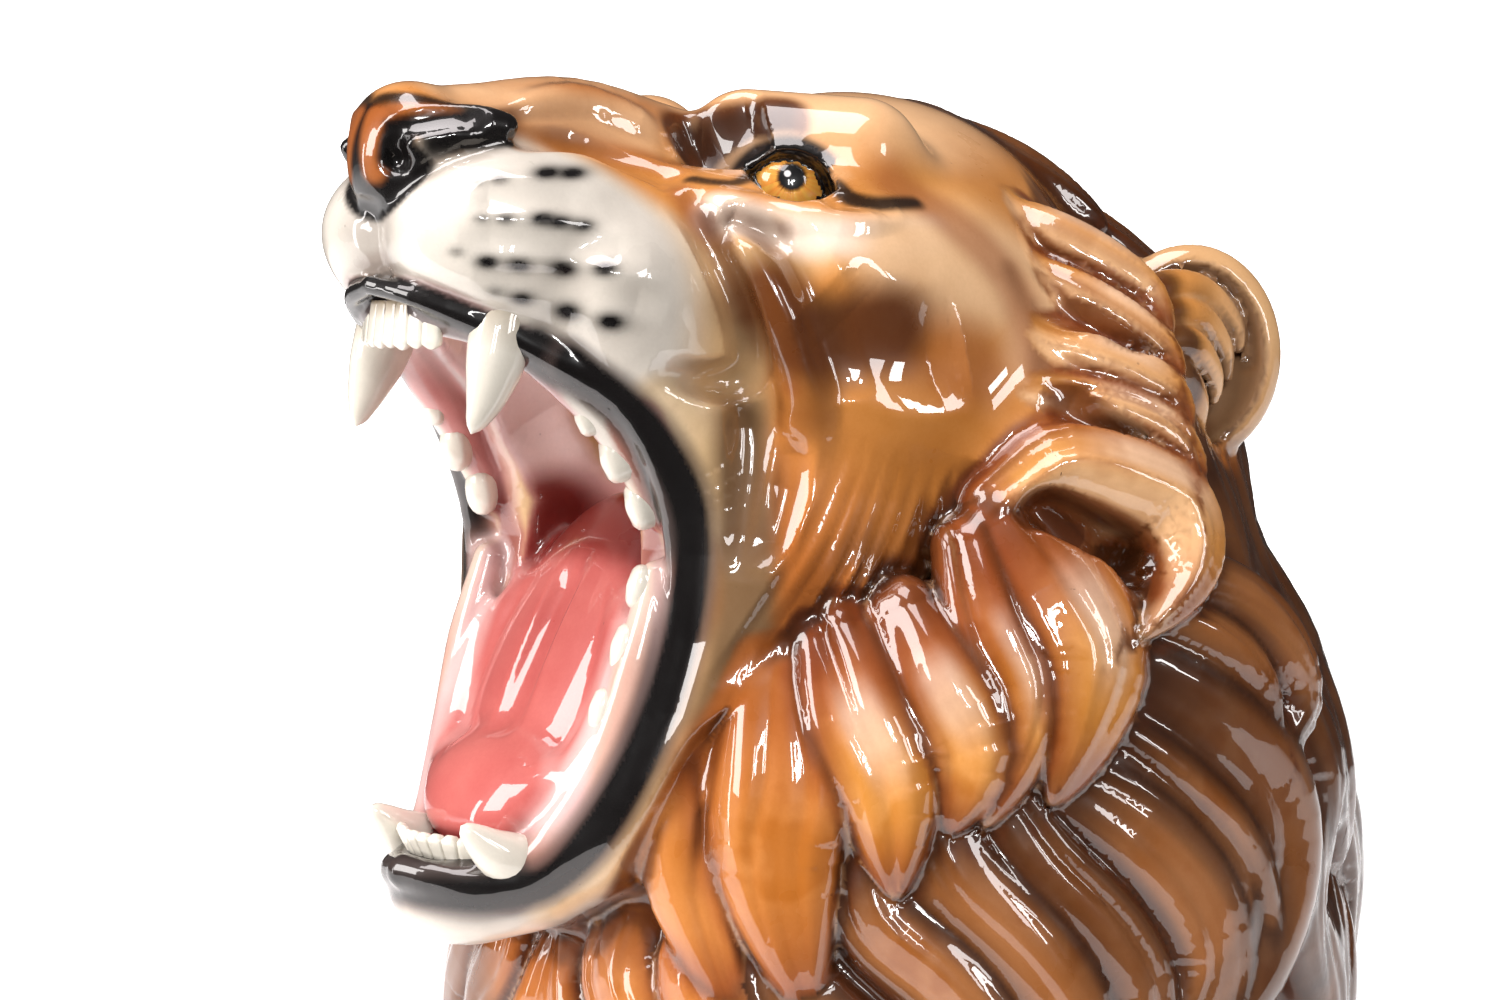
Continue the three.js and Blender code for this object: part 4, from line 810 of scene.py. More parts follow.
    # dark red at the back of the mouth deepened by painted shade, then painted shade in the mouth's hollows
    over(THROAT, near_line(q, [(0, -122, 198), (22, -124, 198), (40, -128, 194)], 9, 12) * inside)
    over(THROAT, inside * fold(0.15, 0.7, tight) * 0.6)
    over(GOLD, near_line(q, [(36, -132, 176), (37, -144, 150), (34, -160, 124)], 1.5, 4) * inside * 0.6)
    over(GUM, near_line(q, LIP[3:8], 8, 3))
    over(PALE_PINK, near_line(q, LOWER_GUM[2:], 8, 3) * fold(95, 110, z) * 0.45)
    over(LIP_GREY, near_line(q, LIP[:5], 7, 5) * inside * 0.9)
    over(LIP_GREY, near_line(q, LIP[2:5], 6, 4) * 0.6)
    over(BLACK, near_line(q, LIP[:4], 3.8, 2.2))
    over(BLACK, near_line(q, LIP[2:5], 4.6, 2.6))
    over(BLACK, near_place(q, (0, -198, 272), (24, 11, 12), soft=0.5) * inside * 0.95)
    over(BLACK, near_line(q, LIP[7:], 8, 4))
    over(LIP_GREY, near_line(q, LIP_EDGE, 6.5, 5) * 0.75)
    over(BLACK, near_line(q, LIP_EDGE, 4.4, 2.8))

    # Nose
    nose = near_place(q, (0, -207, 313), (22, 20, 19), (10, 0), 0.12)
    nose = np.maximum(nose, near_line(q, [(18, -203, 319), (25, -191, 322), (28, -180, 323)], 5.5, 3))
    over(BLACK, nose * (1 - near_place(q, (0, -186, 340), (26, 26, 9), (-6, 0), 0.5)))
    over(NOSE_CENTRE, near_line(q, [(5, -215, 327), (6, -217, 318), (7, -216, 310)], 2.2, 3.6) * 0.95)
    over(NOSE_CENTRE, near_line(q, [(9, -212, 328), (16, -206, 329), (23, -197, 329)], 1.5, 3) * 0.8)
    over(BLACK, near_line(q, [(9, -212, 314), (14, -212, 321), (21, -205, 325), (30, -188, 325)], 2.5, 3))
    over(BLACK, near_line(q, [(0, -214, 333), (12, -208, 333), (20, -198, 332), (28, -188, 329)], 1.5, 3) * 0.95)
    over(BLACK, near_line(q, [(0, -217, 303), (0, -219, 290), (0, -215, 276)], 1.2, 2.6) * 0.97)

    # Eye lids
    slit, depth, _ = almond(q.astype(F))
    lid = (1 - fold(3.4, 6.6, np.abs(slit))) * (depth > 0) * (np.linalg.norm(q - EYE, axis=1) < 26)
    over(BLACK, lid)
    over(BLACK, near_line(q, [(72, -88, 308), (80, -87, 302), (85, -77, 301), (86, -64, 302)], 1.8, 3.4) * 0.95)
    over(BLACK, near_line(q, [(54, -106, 309), (57, -114, 308), (54, -121, 308), (49, -127, 309)], 1.3, 2.6) * 0.9)
    return colour, across, share, mane


def make_piece(name, verts, faces, normals=None, smooth=True):
    """A mesh object at the origin from places in millimetres."""
    mesh = bpy.data.meshes.new(name)
    faces = faces.tolist() if isinstance(faces, np.ndarray) else faces
    mesh.from_pydata((np.asarray(verts) / 1000).tolist(), [], faces)
    mesh.polygons.foreach_set("use_smooth", np.full(len(mesh.polygons), smooth))
    if normals is not None:
        mesh.normals_split_custom_set_from_vertices(np.asarray(normals).tolist())
    piece = bpy.data.objects.new(name, mesh)
    bpy.context.collection.objects.link(piece)
    return piece


def add_values(mesh, name, values):
    layer = mesh.attributes.new(name, "FLOAT", "POINT")
    layer.data.foreach_set("value", np.asarray(values, F))


def add_colours(mesh, name, colours):
    layer = mesh.attributes.new(name, "FLOAT_COLOR", "POINT")
    layer.data.foreach_set("color", np.column_stack([colours, np.ones(len(colours))]).astype(F).ravel())


def body_piece(name, side, size, low, high):
    verts, faces, normals, hollow, crest = carve(side, size, low, high)
    piece = make_piece(name, verts, faces, normals)
    colour, across, share, mane = paint(verts, hollow, crest)
    add_colours(piece.data, "paint", colour)
    # how hollow the skin is, read for painted shade in the hollows, also glaze pooled there
    add_values(piece.data, "pool_and_shade", np.clip(hollow[0] + hollow[1], 0, 1))
    add_values(piece.data, "across", across)
    add_values(piece.data, "share", share)
    add_values(piece.data, "mane", mane)
    return piece


# Teeth
def horn(path, radii, flat=1.0, rings=22, sides=24):
    """A closed, bent cone with a rounded tip, flatter one way by the share flat."""
    line = smooth_path(path, 8)
    s = np.linspace(0, 1, rings)
    at = np.array([np.interp(s * (len(line) - 1), np.arange(len(line)), line[:, k]) for k in range(3)]).T
    r = np.interp(s, np.linspace(0, 1, len(radii)), radii)
    tip = np.clip((1 - s) / 0.1, 0, 1)
    r = r * np.sqrt(np.clip(1 - (1 - tip) ** 2, 0.02, 1))
    ahead = np.gradient(at, axis=0)
    ahead /= np.linalg.norm(ahead, axis=1)[:, None]
    out = np.cross(ahead, (1, 0, 0))
    out /= np.linalg.norm(out, axis=1)[:, None]
    wide = np.cross(out, ahead)
    turn = np.linspace(0, 2 * math.pi, sides, endpoint=False)
    verts = [at[i] + r[i] * (math.cos(a) * out[i] + flat * math.sin(a) * wide[i]) for i in range(rings) for a in turn]
    verts += [at[0], at[-1] + ahead[-1] * r[-1] * 0.5]
    faces = []
    for i in range(rings - 1):
        for k in range(sides):
            n = (k + 1) % sides
            faces.append([i * sides + k, (i + 1) * sides + k, (i + 1) * sides + n, i * sides + n])
    start, end, last = rings * sides, rings * sides + 1, (rings - 1) * sides
    for k in range(sides):
        n = (k + 1) % sides
        faces += [[start, k, n], [end, last + n, last + k]]
    return np.array(verts), faces, np.repeat(s, sides).tolist() + [0.0, 1.0]


def tooth_bud(name, width, depth, height, pinch, round_top):
    """One small tooth standing up along Z, its root at the origin, rounded at the top."""
    verts, faces, rise = [], [], []
    rings, sides = 12, 20
    for i in range(rings):
        s = i / (rings - 1)
        shoulder = max(0.0, (s - 0.5) / 0.505) ** round_top
        swell = math.sqrt(1 - shoulder) * (0.9 + 0.1 * math.sin(math.pi * min(1, s / 0.8) / 2))
        for k in range(sides):
            a = 2 * math.pi * k / sides
            cx, cy = math.cos(a), math.sin(a)
            box = (abs(cx) ** pinch + abs(cy) ** pinch) ** (-1 / pinch)
            verts.append((width * 0.5 * swell * box * cx, depth * 0.5 * swell * box * cy, height * s))
            rise.append(s)
    for i in range(rings - 1):
        for k in range(sides):
            n = (k + 1) % sides
            faces.append([i * sides + k, i * sides + n, (i + 1) * sides + n, (i + 1) * sides + k])
    verts += [(0, 0, 0), (0, 0, height * 1.02)]
    rise += [0.0, 1.0]
    start, end, last = rings * sides, rings * sides + 1, (rings - 1) * sides
    for k in range(sides):
        n = (k + 1) % sides
        faces += [[start, n, k], [end, last + k, last + n]]
    bud = make_piece(name, verts, faces)
    add_values(bud.data, "rise", rise)
    return bud


def row_tree(name):
    """Geometry nodes: a tooth on every point of a row, turned and sized by the point, slightly uneven."""
    tree = bpy.data.node_groups.new(name, "GeometryNodeTree")
    face = tree.interface
    face.new_socket("Row", in_out="INPUT", socket_type="NodeSocketGeometry")
    face.new_socket("Tooth", in_out="INPUT", socket_type="NodeSocketObject")
    face.new_socket("Unevenness", in_out="INPUT", socket_type="NodeSocketFloat")
    face.new_socket("Seed", in_out="INPUT", socket_type="NodeSocketInt")
    face.new_socket("Finish", in_out="INPUT", socket_type="NodeSocketMaterial")
    face.new_socket("Teeth", in_out="OUTPUT", socket_type="NodeSocketGeometry")
    new, link = tree.nodes.new, tree.links.new
    start, end = new("NodeGroupInput"), new("NodeGroupOutput")
    tooth = new("GeometryNodeObjectInfo")
    link(start.outputs["Tooth"], tooth.inputs["Object"])
    turn, size = new("GeometryNodeInputNamedAttribute"), new("GeometryNodeInputNamedAttribute")
    for node, word in ((turn, "turn"), (size, "size")):
        node.data_type = "FLOAT_VECTOR"
        node.inputs["Name"].default_value = word
    spread = new("FunctionNodeRandomValue")
    spread.data_type = "FLOAT"
    link(start.outputs["Seed"], spread.inputs["Seed"])
    uneven = new("ShaderNodeMath")
    uneven.operation = "MULTIPLY_ADD"
    link(spread.outputs[1], uneven.inputs[0])
    link(start.outputs["Unevenness"], uneven.inputs[1])
    uneven.inputs[2].default_value = 1.0
    scaled = new("ShaderNodeVectorMath")
    scaled.operation = "SCALE"
    link(size.outputs[0], scaled.inputs[0])
    link(uneven.outputs[0], scaled.inputs["Scale"])
    place = new("GeometryNodeInstanceOnPoints")
    link(start.outputs["Row"], place.inputs["Points"])
    link(tooth.outputs["Geometry"], place.inputs["Instance"])
    link(turn.outputs[0], place.inputs["Rotation"])
    link(scaled.outputs[0], place.inputs["Scale"])
    real = new("GeometryNodeRealizeInstances")
    finish = new("GeometryNodeSetMaterial")
    link(place.outputs["Instances"], real.inputs["Geometry"])
    link(real.outputs["Geometry"], finish.inputs["Geometry"])
    link(start.outputs["Finish"], finish.inputs["Material"])
    link(finish.outputs["Geometry"], end.inputs["Teeth"])
    return tree


def tooth_row(name, tree, bud, places, turns, sizes, finish, seed):
    """Teeth on the given places, as a plain mesh."""
    mesh = bpy.data.meshes.new(name + "_row")
    mesh.from_pydata((np.array(places) / 1000).tolist(), [], [])
    for word, values in (("turn", turns), ("size", sizes)):
        layer = mesh.attributes.new(word, "FLOAT_VECTOR", "POINT")
        layer.data.foreach_set("vector", np.array(values, F).ravel())
    holder = bpy.data.objects.new(name + "_row", mesh)
    bpy.context.collection.objects.link(holder)
    work = holder.modifiers.new("row", "NODES")
    work.node_group = tree
    values = {"Tooth": bud, "Unevenness": 0.08, "Seed": seed, "Finish": finish}
    for item in tree.interface.items_tree:
        if item.in_out == "INPUT" and item.name in values:
            work[item.identifier] = values[item.name]
    bpy.context.view_layer.update()
    done = bpy.data.meshes.new_from_object(holder.evaluated_get(bpy.context.evaluated_depsgraph_get()))
    holder.modifiers.clear()
    bpy.data.objects.remove(holder)
    return done


# Materials
def group_tree(name, inputs, outputs):
    """A shader node group with named sockets; returns the tree, its ends and a helper that adds linked nodes."""
    tree = bpy.data.node_groups.new(name, "ShaderNodeTree")
    for word, kind, value in inputs:
        socket = tree.interface.new_socket(word, in_out="INPUT", socket_type="NodeSocket" + kind)
        if value is not None:
            socket.default_value = value
    for word, kind in outputs:
        tree.interface.new_socket(word, in_out="OUTPUT", socket_type="NodeSocket" + kind)
    return tree, tree.nodes.new("NodeGroupInput"), tree.nodes.new("NodeGroupOutput")


def node_in(tree, kind, settings=None, **inputs):
    """A node with its settings; each input is a value or the output that feeds it."""
    node = tree.nodes.new("ShaderNode" + kind)
    for key, value in (settings or {}).items():
        setattr(node, key, value)
    for key, value in inputs.items():
        socket = node.inputs[int(key[1:])] if key[1:].isdigit() else node.inputs[key.replace("_", " ")]
        if isinstance(value, bpy.types.NodeSocket):
            tree.links.new(value, socket)
        else:
            socket.default_value = value
    return node


def mixed(tree, amount, a, b, blend="MIX"):
    node = node_in(tree, "Mix", {"data_type": "RGBA", "blend_type": blend})
    for socket, value in ((node.inputs[0], amount), (node.inputs[6], a), (node.inputs[7], b)):
        if isinstance(value, bpy.types.NodeSocket):
            tree.links.new(value, socket)
        else:
            socket.default_value = value
    return node.outputs[2]


def ranged(tree, value, low, high, to_low=0.0, to_high=1.0):
    return node_in(tree, "MapRange", None, Value=value, From_Min=low, From_Max=high, To_Min=to_low, To_Max=to_high).outputs[0]


def glaze_group():
    """Glaze over airbrushed paint: soft clouding, painted shade darker in the hollows where glaze also pools, fine
    specks, faint brush strands and a wavy gloss.
    """
    tree, start, end = group_tree("Glaze", [
        ("Colour", "Color", (0.8, 0.4, 0.2, 1)), ("Pool and shade", "Float", 0.0), ("Clouding", "Float", 0.25),
        ("Specks", "Float", 0.35), ("Strands", "Float", 0.0), ("Across", "Float", 0.0), ("Waviness", "Float", 0.4)],
        [("Colour", "Color"), ("Roughness", "Float"), ("Coat", "Float"), ("Height", "Float")])
    link = tree.links.new
    place = node_in(tree, "TexCoord").outputs["Object"]
    cloud = node_in(tree, "TexNoise", None, Vector=place, Scale=38.0, Detail=4.0, Roughness=0.55).outputs[0]
    broad = node_in(tree, "TexNoise", None, Vector=place, Scale=11.0, Detail=2.0, Roughness=0.5).outputs[0]
    grain = node_in(tree, "TexNoise", None, Vector=place, Scale=900.0, Detail=2.0).outputs[0]
    tint = node_in(tree, "Mix", {"data_type": "FLOAT"}).outputs[0].node
    link(start.outputs["Clouding"], tint.inputs[0])
    tint.inputs[2].default_value = 0.5
    link(cloud, tint.inputs[3])
    darker = node_in(tree, "HueSaturation", None, Hue=0.493, Saturation=1.15, Value=0.62, Color=start.outputs["Colour"]).outputs[0]
    lighter = node_in(tree, "HueSaturation", None, Hue=0.506, Saturation=0.95, Value=1.14, Color=start.outputs["Colour"]).outputs[0]
    colour = mixed(tree, ranged(tree, tint.outputs[0], 0.36, 0.64), darker, lighter)
    colour = mixed(tree, ranged(tree, broad, 0.35, 0.65, 0.0, 0.25), colour, lighter)
    # painted shade darkening the hollows, also glaze pooled there
    pooled_shade = node_in(tree, "Math", {"operation": "MULTIPLY"}, _0=start.outputs["Pool and shade"], _1=ranged(tree, cloud, 0.3, 0.7, 0.5, 1.0)).outputs[0]
    colour = mixed(tree, ranged(tree, pooled_shade, 0.1, 1.0, 0.0, 0.55), colour, darker)
    spot = node_in(tree, "TexVoronoi", {"feature": "F1"}, Vector=place, Scale=150.0, Randomness=1.0)
    dot = ranged(tree, spot.outputs["Distance"], 0.05, 0.09, 1.0, 0.0)
    chance = node_in(tree, "Math", {"operation": "GREATER_THAN"}, _0=node_in(tree, "SeparateColor", None, Color=spot.outputs["Color"]).outputs[0], _1=0.93).outputs[0]
    amount = node_in(tree, "Math", {"operation": "MULTIPLY"}, _0=dot, _1=chance).outputs[0]
    amount = node_in(tree, "Math", {"operation": "MULTIPLY"}, _0=amount, _1=start.outputs["Specks"]).outputs[0]
    colour = mixed(tree, amount, colour, (0.03, 0.018, 0.012, 1))
    colour = mixed(tree, ranged(tree, grain, 0.3, 0.7, 0.0, 0.10), colour, darker)
    lines = node_in(tree, "Math", {"operation": "MULTIPLY"}, _0=start.outputs["Across"], _1=16.0).outputs[0]
    lines = node_in(tree, "Math", {"operation": "ADD"}, _0=lines, _1=ranged(tree, cloud, 0.0, 1.0, 0.0, 7.0)).outputs[0]
    lines = node_in(tree, "Math", {"operation": "SINE"}, _0=lines).outputs[0]
    brushed = node_in(tree, "Math", {"operation": "MULTIPLY"}, _0=ranged(tree, lines, 0.2, 1.0, 0.0, 0.12), _1=start.outputs["Strands"]).outputs[0]
    colour = mixed(tree, brushed, colour, darker)
    patch = node_in(tree, "TexNoise", None, Vector=place, Scale=24.0, Detail=3.0, Roughness=0.6).outputs[0]
    patchy = node_in(tree, "Math", {"operation": "MULTIPLY"}, _0=ranged(tree, patch, 0.54, 0.60, 0.0, 0.45), _1=start.outputs["Strands"]).outputs[0]
    colour = mixed(tree, patchy, colour, darker)
    wave = node_in(tree, "TexNoise", None, Vector=place, Scale=55.0, Detail=1.0, Roughness=0.4).outputs[0]
    pits = node_in(tree, "TexNoise", None, Vector=place, Scale=420.0, Detail=1.0).outputs[0]
    height = node_in(tree, "Math", {"operation": "MULTIPLY"}, _0=wave, _1=start.outputs["Waviness"]).outputs[0]
    height = node_in(tree, "Math", {"operation": "MULTIPLY_ADD"}, _0=pits, _1=0.02, _2=height).outputs[0]
    height = node_in(tree, "Math", {"operation": "MULTIPLY_ADD"}, _0=brushed, _1=-0.25, _2=height).outputs[0]
    link(colour, end.inputs["Colour"])
    link(ranged(tree, cloud, 0.3, 0.7, 0.25, 0.45), end.inputs["Roughness"])
    link(ranged(tree, broad, 0.3, 0.7, 1.0, 0.9), end.inputs["Coat"])
    link(height, end.inputs["Height"])
    return tree


def glazed(name, glaze, colour=None, pool_and_shade=None, across=None, clouding=0.25, specks=0.35, waviness=0.4, recolour=None):
    """A glazed material; colour, pool and across come from attributes or stay fixed."""
    material = bpy.data.materials.new(name)
    material.use_nodes = True
    tree = material.node_tree
    shader = tree.nodes["Principled BSDF"]
    work = tree.nodes.new("ShaderNodeGroup")
    work.node_tree = glaze

    def attribute(word):
        node = tree.nodes.new("ShaderNodeAttribute")
        node.attribute_name = word
        return node
    if recolour:
        tree.links.new(recolour(tree, attribute), work.inputs["Colour"])
    else:
        tree.links.new(attribute(colour).outputs["Color"], work.inputs["Colour"])
    if pool_and_shade:
        tree.links.new(attribute(pool_and_shade).outputs["Fac"], work.inputs["Pool and shade"])
    if across:
        tree.links.new(attribute(across).outputs["Fac"], work.inputs["Across"])
        tree.links.new(attribute("mane").outputs["Fac"], work.inputs["Strands"])
    for word, value in (("Clouding", clouding), ("Specks", specks), ("Waviness", waviness)):
        work.inputs[word].default_value = value
    tree.links.new(work.outputs["Colour"], shader.inputs["Base Color"])
    tree.links.new(work.outputs["Roughness"], shader.inputs["Roughness"])
    tree.links.new(work.outputs["Coat"], shader.inputs["Coat Weight"])
    shader.inputs["Coat Roughness"].default_value = 0.02
    shader.inputs["Coat IOR"].default_value = 1.7
    shader.inputs["IOR"].default_value = 1.4
    shader.inputs["Specular IOR Level"].default_value = 0.3
    bump = tree.nodes.new("ShaderNodeBump")
    bump.inputs["Strength"].default_value = 0.35
    bump.inputs["Distance"].default_value = 0.0012
    tree.links.new(work.outputs["Height"], bump.inputs["Height"])
    tree.links.new(bump.outputs["Normal"], shader.inputs["Normal"])
    return material


# Pieces
low = np.array(cad_low) * 1000 - 8
high = np.array(cad_high) * 1000 + 8



def before_seam(p):
    return p[..., 1] - (SEAM_Y + SEAM_OVERLAP)


face = body_piece("face", lambda p: np.maximum(before_seam(p), JAW_Z - p[..., 2]), FACE_STEP,
                  (low[0], low[1], JAW_Z - 12), (high[0], SEAM_Y + 12, high[2]))
jaw = body_piece("jaw", lambda p: np.maximum(before_seam(p), p[..., 2] - (JAW_Z + SEAM_OVERLAP)), JAW_STEP,
                 low, (high[0], SEAM_Y + 12, JAW_Z + 12))
mane = body_piece("mane", lambda p: np.maximum(SEAM_Y - p[..., 1], p[..., 1] - (BACK_Y + SEAM_OVERLAP)),
                  MANE_STEP, (low[0], SEAM_Y - 12, low[2]), (high[0], BACK_Y + 12, high[2]))
back = body_piece("mane_back", lambda p: BACK_Y - p[..., 1], BACK_STEP, (low[0], BACK_Y - 12, low[2]), high)

glaze = glaze_group()
body_finish = glazed("painted_glaze", glaze, colour="paint", pool_and_shade="pool_and_shade", across="across", waviness=0.65)
for piece in (face, jaw, mane, back):
    piece.data.materials.append(body_finish)


def tooth_colour(tree, attribute):
    """Ivory, browner at the root."""
    rise = attribute("rise").outputs["Fac"]
    return mixed(tree, ranged(tree, rise, 0.0, 0.4), (0.42, 0.33, 0.23, 1), (0.82, 0.78, 0.68, 1))


tooth_finish = glazed("tooth_glaze", glaze, clouding=0.12, specks=0.1, waviness=0.25, recolour=tooth_colour)

CANINES = [
    ([(30, -180, 273), (31, -186, 260), (32, -190, 249), (32.5, -194, 239), (31.5, -198, 230)], [10, 10.8, 9.2, 6.0, 2.0]),
    ([(26, -166, 92), (26, -176, 95), (26, -185, 99), (25.5, -192, 104), (25, -198, 109)], [9, 9.4, 7.8, 5.2, 2.0]),
]
verts, faces, rises = [], [], []
for line, radii in CANINES:
    for turn in (1, -1):
        v, f, rise = horn(np.array(line) * (turn, 1, 1), radii, flat=0.82)
        faces += [[i + len(verts) for i in (quad if turn == 1 else quad[::-1])] for quad in f]
        verts += v.tolist()
        rises += rise
canines = make_piece("canine_teeth", verts, faces)
add_values(canines.data, "rise", rises)
canines.data.materials.append(tooth_finish)

# Cheek teeth and front teeth stand in rows
row = row_tree("tooth_row")
cheek_bud = tooth_bud("cheek_bud", 13.0, 10.0, 11.0, 2.3, 4)
front_bud = tooth_bud("front_bud", 5.9, 5.0, 11.0, 5.0, 12)


def rows_on_both_sides(places, turns, sizes):
    """The same row mirrored to the other side."""
    other = [(-x, y, z) for x, y, z in places]
    back = [(a, -b, -c) for a, b, c in turns]
    return places + other, turns + back, sizes * 2


def turn_towards(direction):
    """Euler turn that points Z along a direction."""
    return tuple(Vector(direction).to_track_quat("Z", "Y").to_euler())


CHEEK_TEETH = [(43, -163, 236, -1, 0.8), (45, -152, 223, -1, 1.0), (45, -142, 208, -1, 1.0),
               (45, -143, 179, 1, 0.9), (45, -148, 160, 1, 1.0), (42.5, -156, 141, 1, 0.95)]
places = [(x, y + 7, z) for x, y, z, _, _ in CHEEK_TEETH]
turns = [turn_towards((-0.35, -0.9, 0.25 * way)) for _, _, _, way, _ in CHEEK_TEETH]
sizes = [(s * 0.75, s * 1.5, s) for _, _, _, _, s in CHEEK_TEETH]
places, turns, sizes = rows_on_both_sides(places, turns, sizes)
FAR_LOWER = 3  # the last three, worn low behind the tongue
sizes[-FAR_LOWER:] = [(a * 0.7, b * 0.7, c * 0.6) for a, b, c in sizes[-FAR_LOWER:]]
teeth_parts = [tooth_row("cheek_teeth", row, cheek_bud, places, turns, sizes, tooth_finish, 3)]

FRONT_COUNT = 4
places, turns, sizes = [], [], []
for spacing, arc, top, z, tilt, size in ((5.1, 34, -206, 270, math.pi - 0.12, (1.0, 0.7, 1.25)),
                                         (4.5, 26, -192, 93, 0.45, (0.86, 0.7, 1.05))):
    for i in range(FRONT_COUNT):
        a = (i + 0.5) * spacing / arc
        places.append((arc * math.sin(a), top + arc * (1 - math.cos(a)), z))
        turns.append((tilt, 0, a))
        sizes.append(size)
teeth_parts.append(tooth_row("front_teeth", row, front_bud, *rows_on_both_sides(places, turns, sizes), tooth_finish, 5))
small_teeth = []
for name, mesh in zip(("cheek_teeth", "front_teeth"), teeth_parts):
    piece = bpy.data.objects.new(name, mesh)
    bpy.context.collection.objects.link(piece)
    small_teeth.append(piece)
for bud in (cheek_bud, front_bud):
    bpy.data.objects.remove(bud)


# Eyes
IRIS_RADIUS, PUPIL_RADIUS, IRIS_RISE = 13.6, 4.2, 2.4


def eye_ball(turn, rings=40, sides=72):
    """A closed ball whose pole looks along the gaze; look holds the place on the iris."""
    verts, look = [], []
    for i in range(1, rings):
        a = math.pi * i / rings
        for k in range(sides):
            b = 2 * math.pi * k / sides
            way = math.cos(a) * GAZE + math.sin(a) * (math.cos(b) * SLIT + math.sin(b) * RISE)
            verts.append(EYE + (EYE_RADIUS + 0.12) * way)
    verts += [EYE + (EYE_RADIUS + 0.12) * GAZE, EYE - (EYE_RADIUS + 0.12) * GAZE]
    faces = []
    for i in range(rings - 2):
        for k in range(sides):
            n = (k + 1) % sides
            faces.append([i * sides + k, i * sides + n, (i + 1) * sides + n, (i + 1) * sides + k])
    top, bottom, last = (rings - 1) * sides, (rings - 1) * sides + 1, (rings - 2) * sides
    for k in range(sides):
        n = (k + 1) % sides
        faces += [[top, n, k], [bottom, last + k, last + n]]
    verts = np.array(verts, float)
    look = np.stack([(verts - EYE) @ SLIT, (verts - EYE) @ RISE - IRIS_RISE, (verts - EYE) @ GAZE], 1)
    if np.cross(verts[0] - verts[top], verts[1] - verts[top]) @ GAZE < 0:
        faces = [f[::-1] for f in faces]
    if turn < 0:
        verts = verts * (-1, 1, 1)
        faces = [f[::-1] for f in faces]
    return verts, faces, look


verts, faces, look = [], [], []
for turn in (1, -1):
    v, f, places = eye_ball(turn)
    faces += [[i + len(verts) for i in q] for q in f]
    verts += v.tolist()
    look += places.tolist()
eyes = make_piece("eyes", verts, faces)
layer = eyes.data.attributes.new("look", "FLOAT_VECTOR", "POINT")
layer.data.foreach_set("vector", np.array(look, F).ravel())


def iris_colour(tree, attribute):
    """Amber iris with darker rays and rim, black pupil with one white dot painted as a highlight, dark white of the
    eye.
    """
    place = attribute("look").outputs["Vector"]
    flat = node_in(tree, "VectorMath", {"operation": "MULTIPLY"}, _0=place, _1=(1, 1, 0)).outputs[0]
    radius = node_in(tree, "VectorMath", {"operation": "LENGTH"}, _0=flat).outputs["Value"]
    way = node_in(tree, "VectorMath", {"operation": "NORMALIZE"}, _0=flat).outputs[0]
    rays = node_in(tree, "TexNoise", None, Vector=way, Scale=7.0, Detail=3.0).outputs[0]
    cloud = node_in(tree, "TexNoise", None, Vector=place, Scale=0.25, Detail=3.0).outputs[0]
    amber = mixed(tree, ranged(tree, rays, 0.35, 0.65), (1.0, 0.33, 0.03, 1), (1.0, 0.52, 0.08, 1))
    amber = mixed(tree, ranged(tree, cloud, 0.50, 0.68, 0.0, 0.25), amber, (0.6, 0.17, 0.015, 1))
    uneven = node_in(tree, "Math", {"operation": "MULTIPLY_ADD"}, _0=rays, _1=3.0, _2=radius).outputs[0]
    amber = mixed(tree, ranged(tree, uneven, PUPIL_RADIUS + 1.0, PUPIL_RADIUS + 2.8, 1.0, 0.0), amber, (0.08, 0.025, 0.008, 1))
    amber = mixed(tree, ranged(tree, radius, PUPIL_RADIUS - 0.4, PUPIL_RADIUS + 0.8, 1.0, 0.0), amber, (0.006, 0.006, 0.007, 1))
    amber = mixed(tree, ranged(tree, radius, IRIS_RADIUS - 1.6, IRIS_RADIUS, 0.0, 1.0), amber, (0.012, 0.009, 0.007, 1))
    # painted highlight: one white dot on the pupil
    spot = node_in(tree, "VectorMath", {"operation": "DISTANCE"}, _0=flat, _1=(-1.6, 0.6, 0)).outputs["Value"]
    return mixed(tree, ranged(tree, spot, 0.9, 1.25, 1.0, 0.0), amber, (0.95, 0.95, 0.95, 1))


eyes.data.materials.append(glazed("eye_glaze", glaze, clouding=0.1, specks=0.0, waviness=0.0, recolour=iris_colour))

# Each piece rides on the bust; the plain part from model.glb is hidden
for piece in (face, jaw, mane, back, canines, *small_teeth, eyes):
    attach(piece, "root")
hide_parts("lion_bust")

# Studio: white sweep, broad soft boxes and two small hard lamps
TARGET = Vector((0, -0.061, 0.202))
CAMERA_AT = Vector((0.8788, -0.7984, 0.2822))


def stage_plane(name, corners, colour, glow=0.0):
    mesh = bpy.data.meshes.new(name)
    mesh.from_pydata(corners, [], [[0, 1, 2, 3]])
    plane = bpy.data.objects.new(name, mesh)
    bpy.context.collection.objects.link(plane)
    material = bpy.data.materials.new(name)
    material.use_nodes = True
    shader = material.node_tree.nodes["Principled BSDF"]
    shader.inputs["Base Color"].default_value = colour
    shader.inputs["Roughness"].default_value = 0.7
    shader.inputs["Emission Color"].default_value = (1, 1, 1, 1)
    shader.inputs["Emission Strength"].default_value = glow
    mesh.materials.append(material)
    plane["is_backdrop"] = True
    return plane


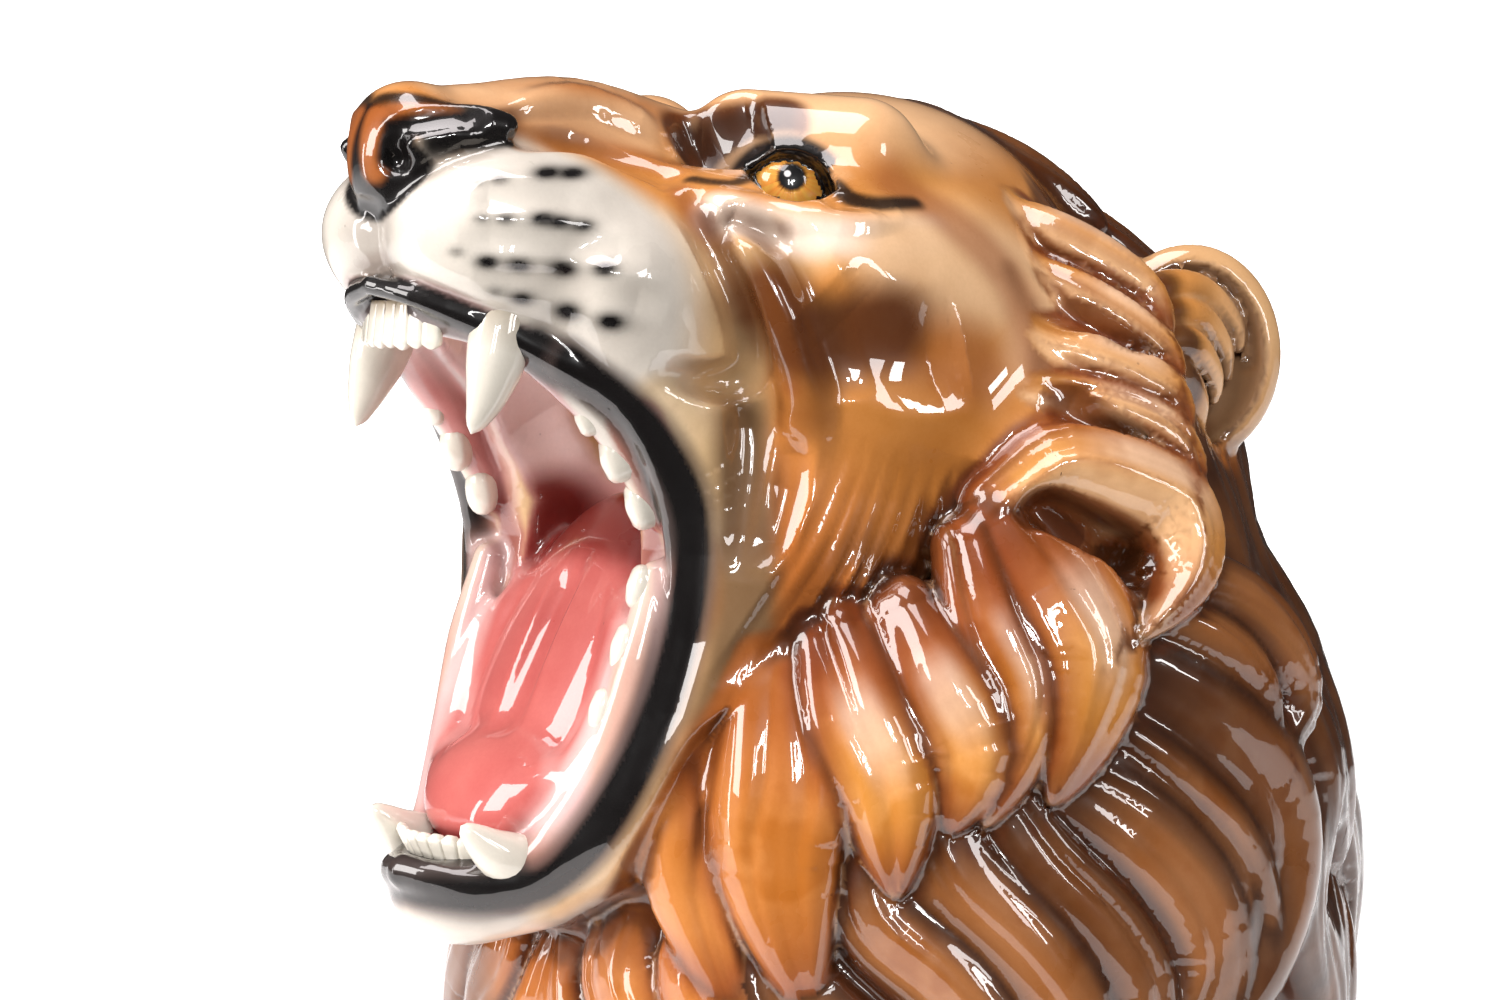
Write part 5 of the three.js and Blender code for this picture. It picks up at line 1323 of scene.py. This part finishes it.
view = (TARGET - CAMERA_AT).normalized()
side_way = view.cross(Vector((0, 0, 1))).normalized()
far = TARGET + view * 1.6
far.z = 0
near = TARGET - view * 0.24
near.z = 0
front = [far - side_way * 5, far + side_way * 5, near + side_way * 5, near - side_way * 5]
stage_plane("floor", [(v.x, v.y, 0) for v in front], (0.85, 0.85, 0.85, 1), 0.4)
edge = side_way * 1.1
wall = [far - edge, far + edge, far + edge + Vector((0, 0, 2.5)), far - edge + Vector((0, 0, 2.5))]
stage_plane("backdrop", [tuple(v) for v in wall], (0.9, 0.9, 0.9, 1), 1.0).visible_glossy = False


def soft_box(name, at, wide, tall, power, colour=(1, 1, 1)):
    light = bpy.data.lights.new(name, "AREA")
    light.shape = "RECTANGLE"
    light.size, light.size_y = wide, tall
    light.energy = power
    light.color = colour
    lamp = bpy.data.objects.new(name, light)
    lamp.location = at
    lamp.rotation_euler = (TARGET - Vector(at)).to_track_quat("-Z", "Y").to_euler()
    bpy.context.collection.objects.link(lamp)
    return lamp


soft_box("top_box", (0.1, -0.5, 1.45), 0.85, 0.95, 18, (1.0, 0.93, 0.93))
soft_box("key_box", (-0.35, -1.75, 0.95), 0.65, 1.1, 21, (1.0, 0.96, 0.94))
soft_box("side_pane_tall", (1.8, 0.12, 0.95), 0.26, 0.8, 6, (1.0, 0.96, 0.95))
soft_box("side_pane_short", (1.8, 0.45, 0.8), 0.16, 0.45, 3.5, (1.0, 0.96, 0.95))
soft_box("lip_strip", (-0.75, -1.45, 0.25), 0.1, 0.9, 3, (1.0, 0.96, 0.95))
soft_box("window_left", (1.65, -1.35, 1.02), 0.13, 0.5, 4, (1.0, 0.98, 0.97))
soft_box("window_right", (1.85, -1.1, 0.98), 0.13, 0.5, 4, (1.0, 0.98, 0.97))
soft_box("mouth_fill", (-0.1, -1.3, 0.1), 0.5, 0.3, 9, (1.0, 0.95, 0.93)).visible_glossy = False
soft_box("hard_lamp_a", (1.5, -0.75, 0.95), 0.06, 0.12, 3)
soft_box("hard_lamp_b", (1.45, -0.95, 0.85), 0.06, 0.10, 3)

scene = bpy.context.scene
world = bpy.data.worlds.new("studio")
world.use_nodes = True
world.node_tree.nodes["Background"].inputs["Color"].default_value = (1.0, 0.93, 0.91, 1)
world.node_tree.nodes["Background"].inputs["Strength"].default_value = 0.05
scene.world = world
scene.view_settings.view_transform = "Standard"

eye_of_camera = bpy.data.cameras.new("camera")
eye_of_camera.lens = 81.9
eye_of_camera.sensor_width = 36
eye_of_camera.clip_start = 0.05
camera = bpy.data.objects.new("camera", eye_of_camera)
camera.location = CAMERA_AT
camera.rotation_euler = (TARGET - CAMERA_AT).to_track_quat("-Z", "Y").to_euler()
bpy.context.collection.objects.link(camera)
scene.camera = camera

size = {"cad": [list(cad_low), list(cad_high)], "scene": [list(v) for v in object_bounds()]}
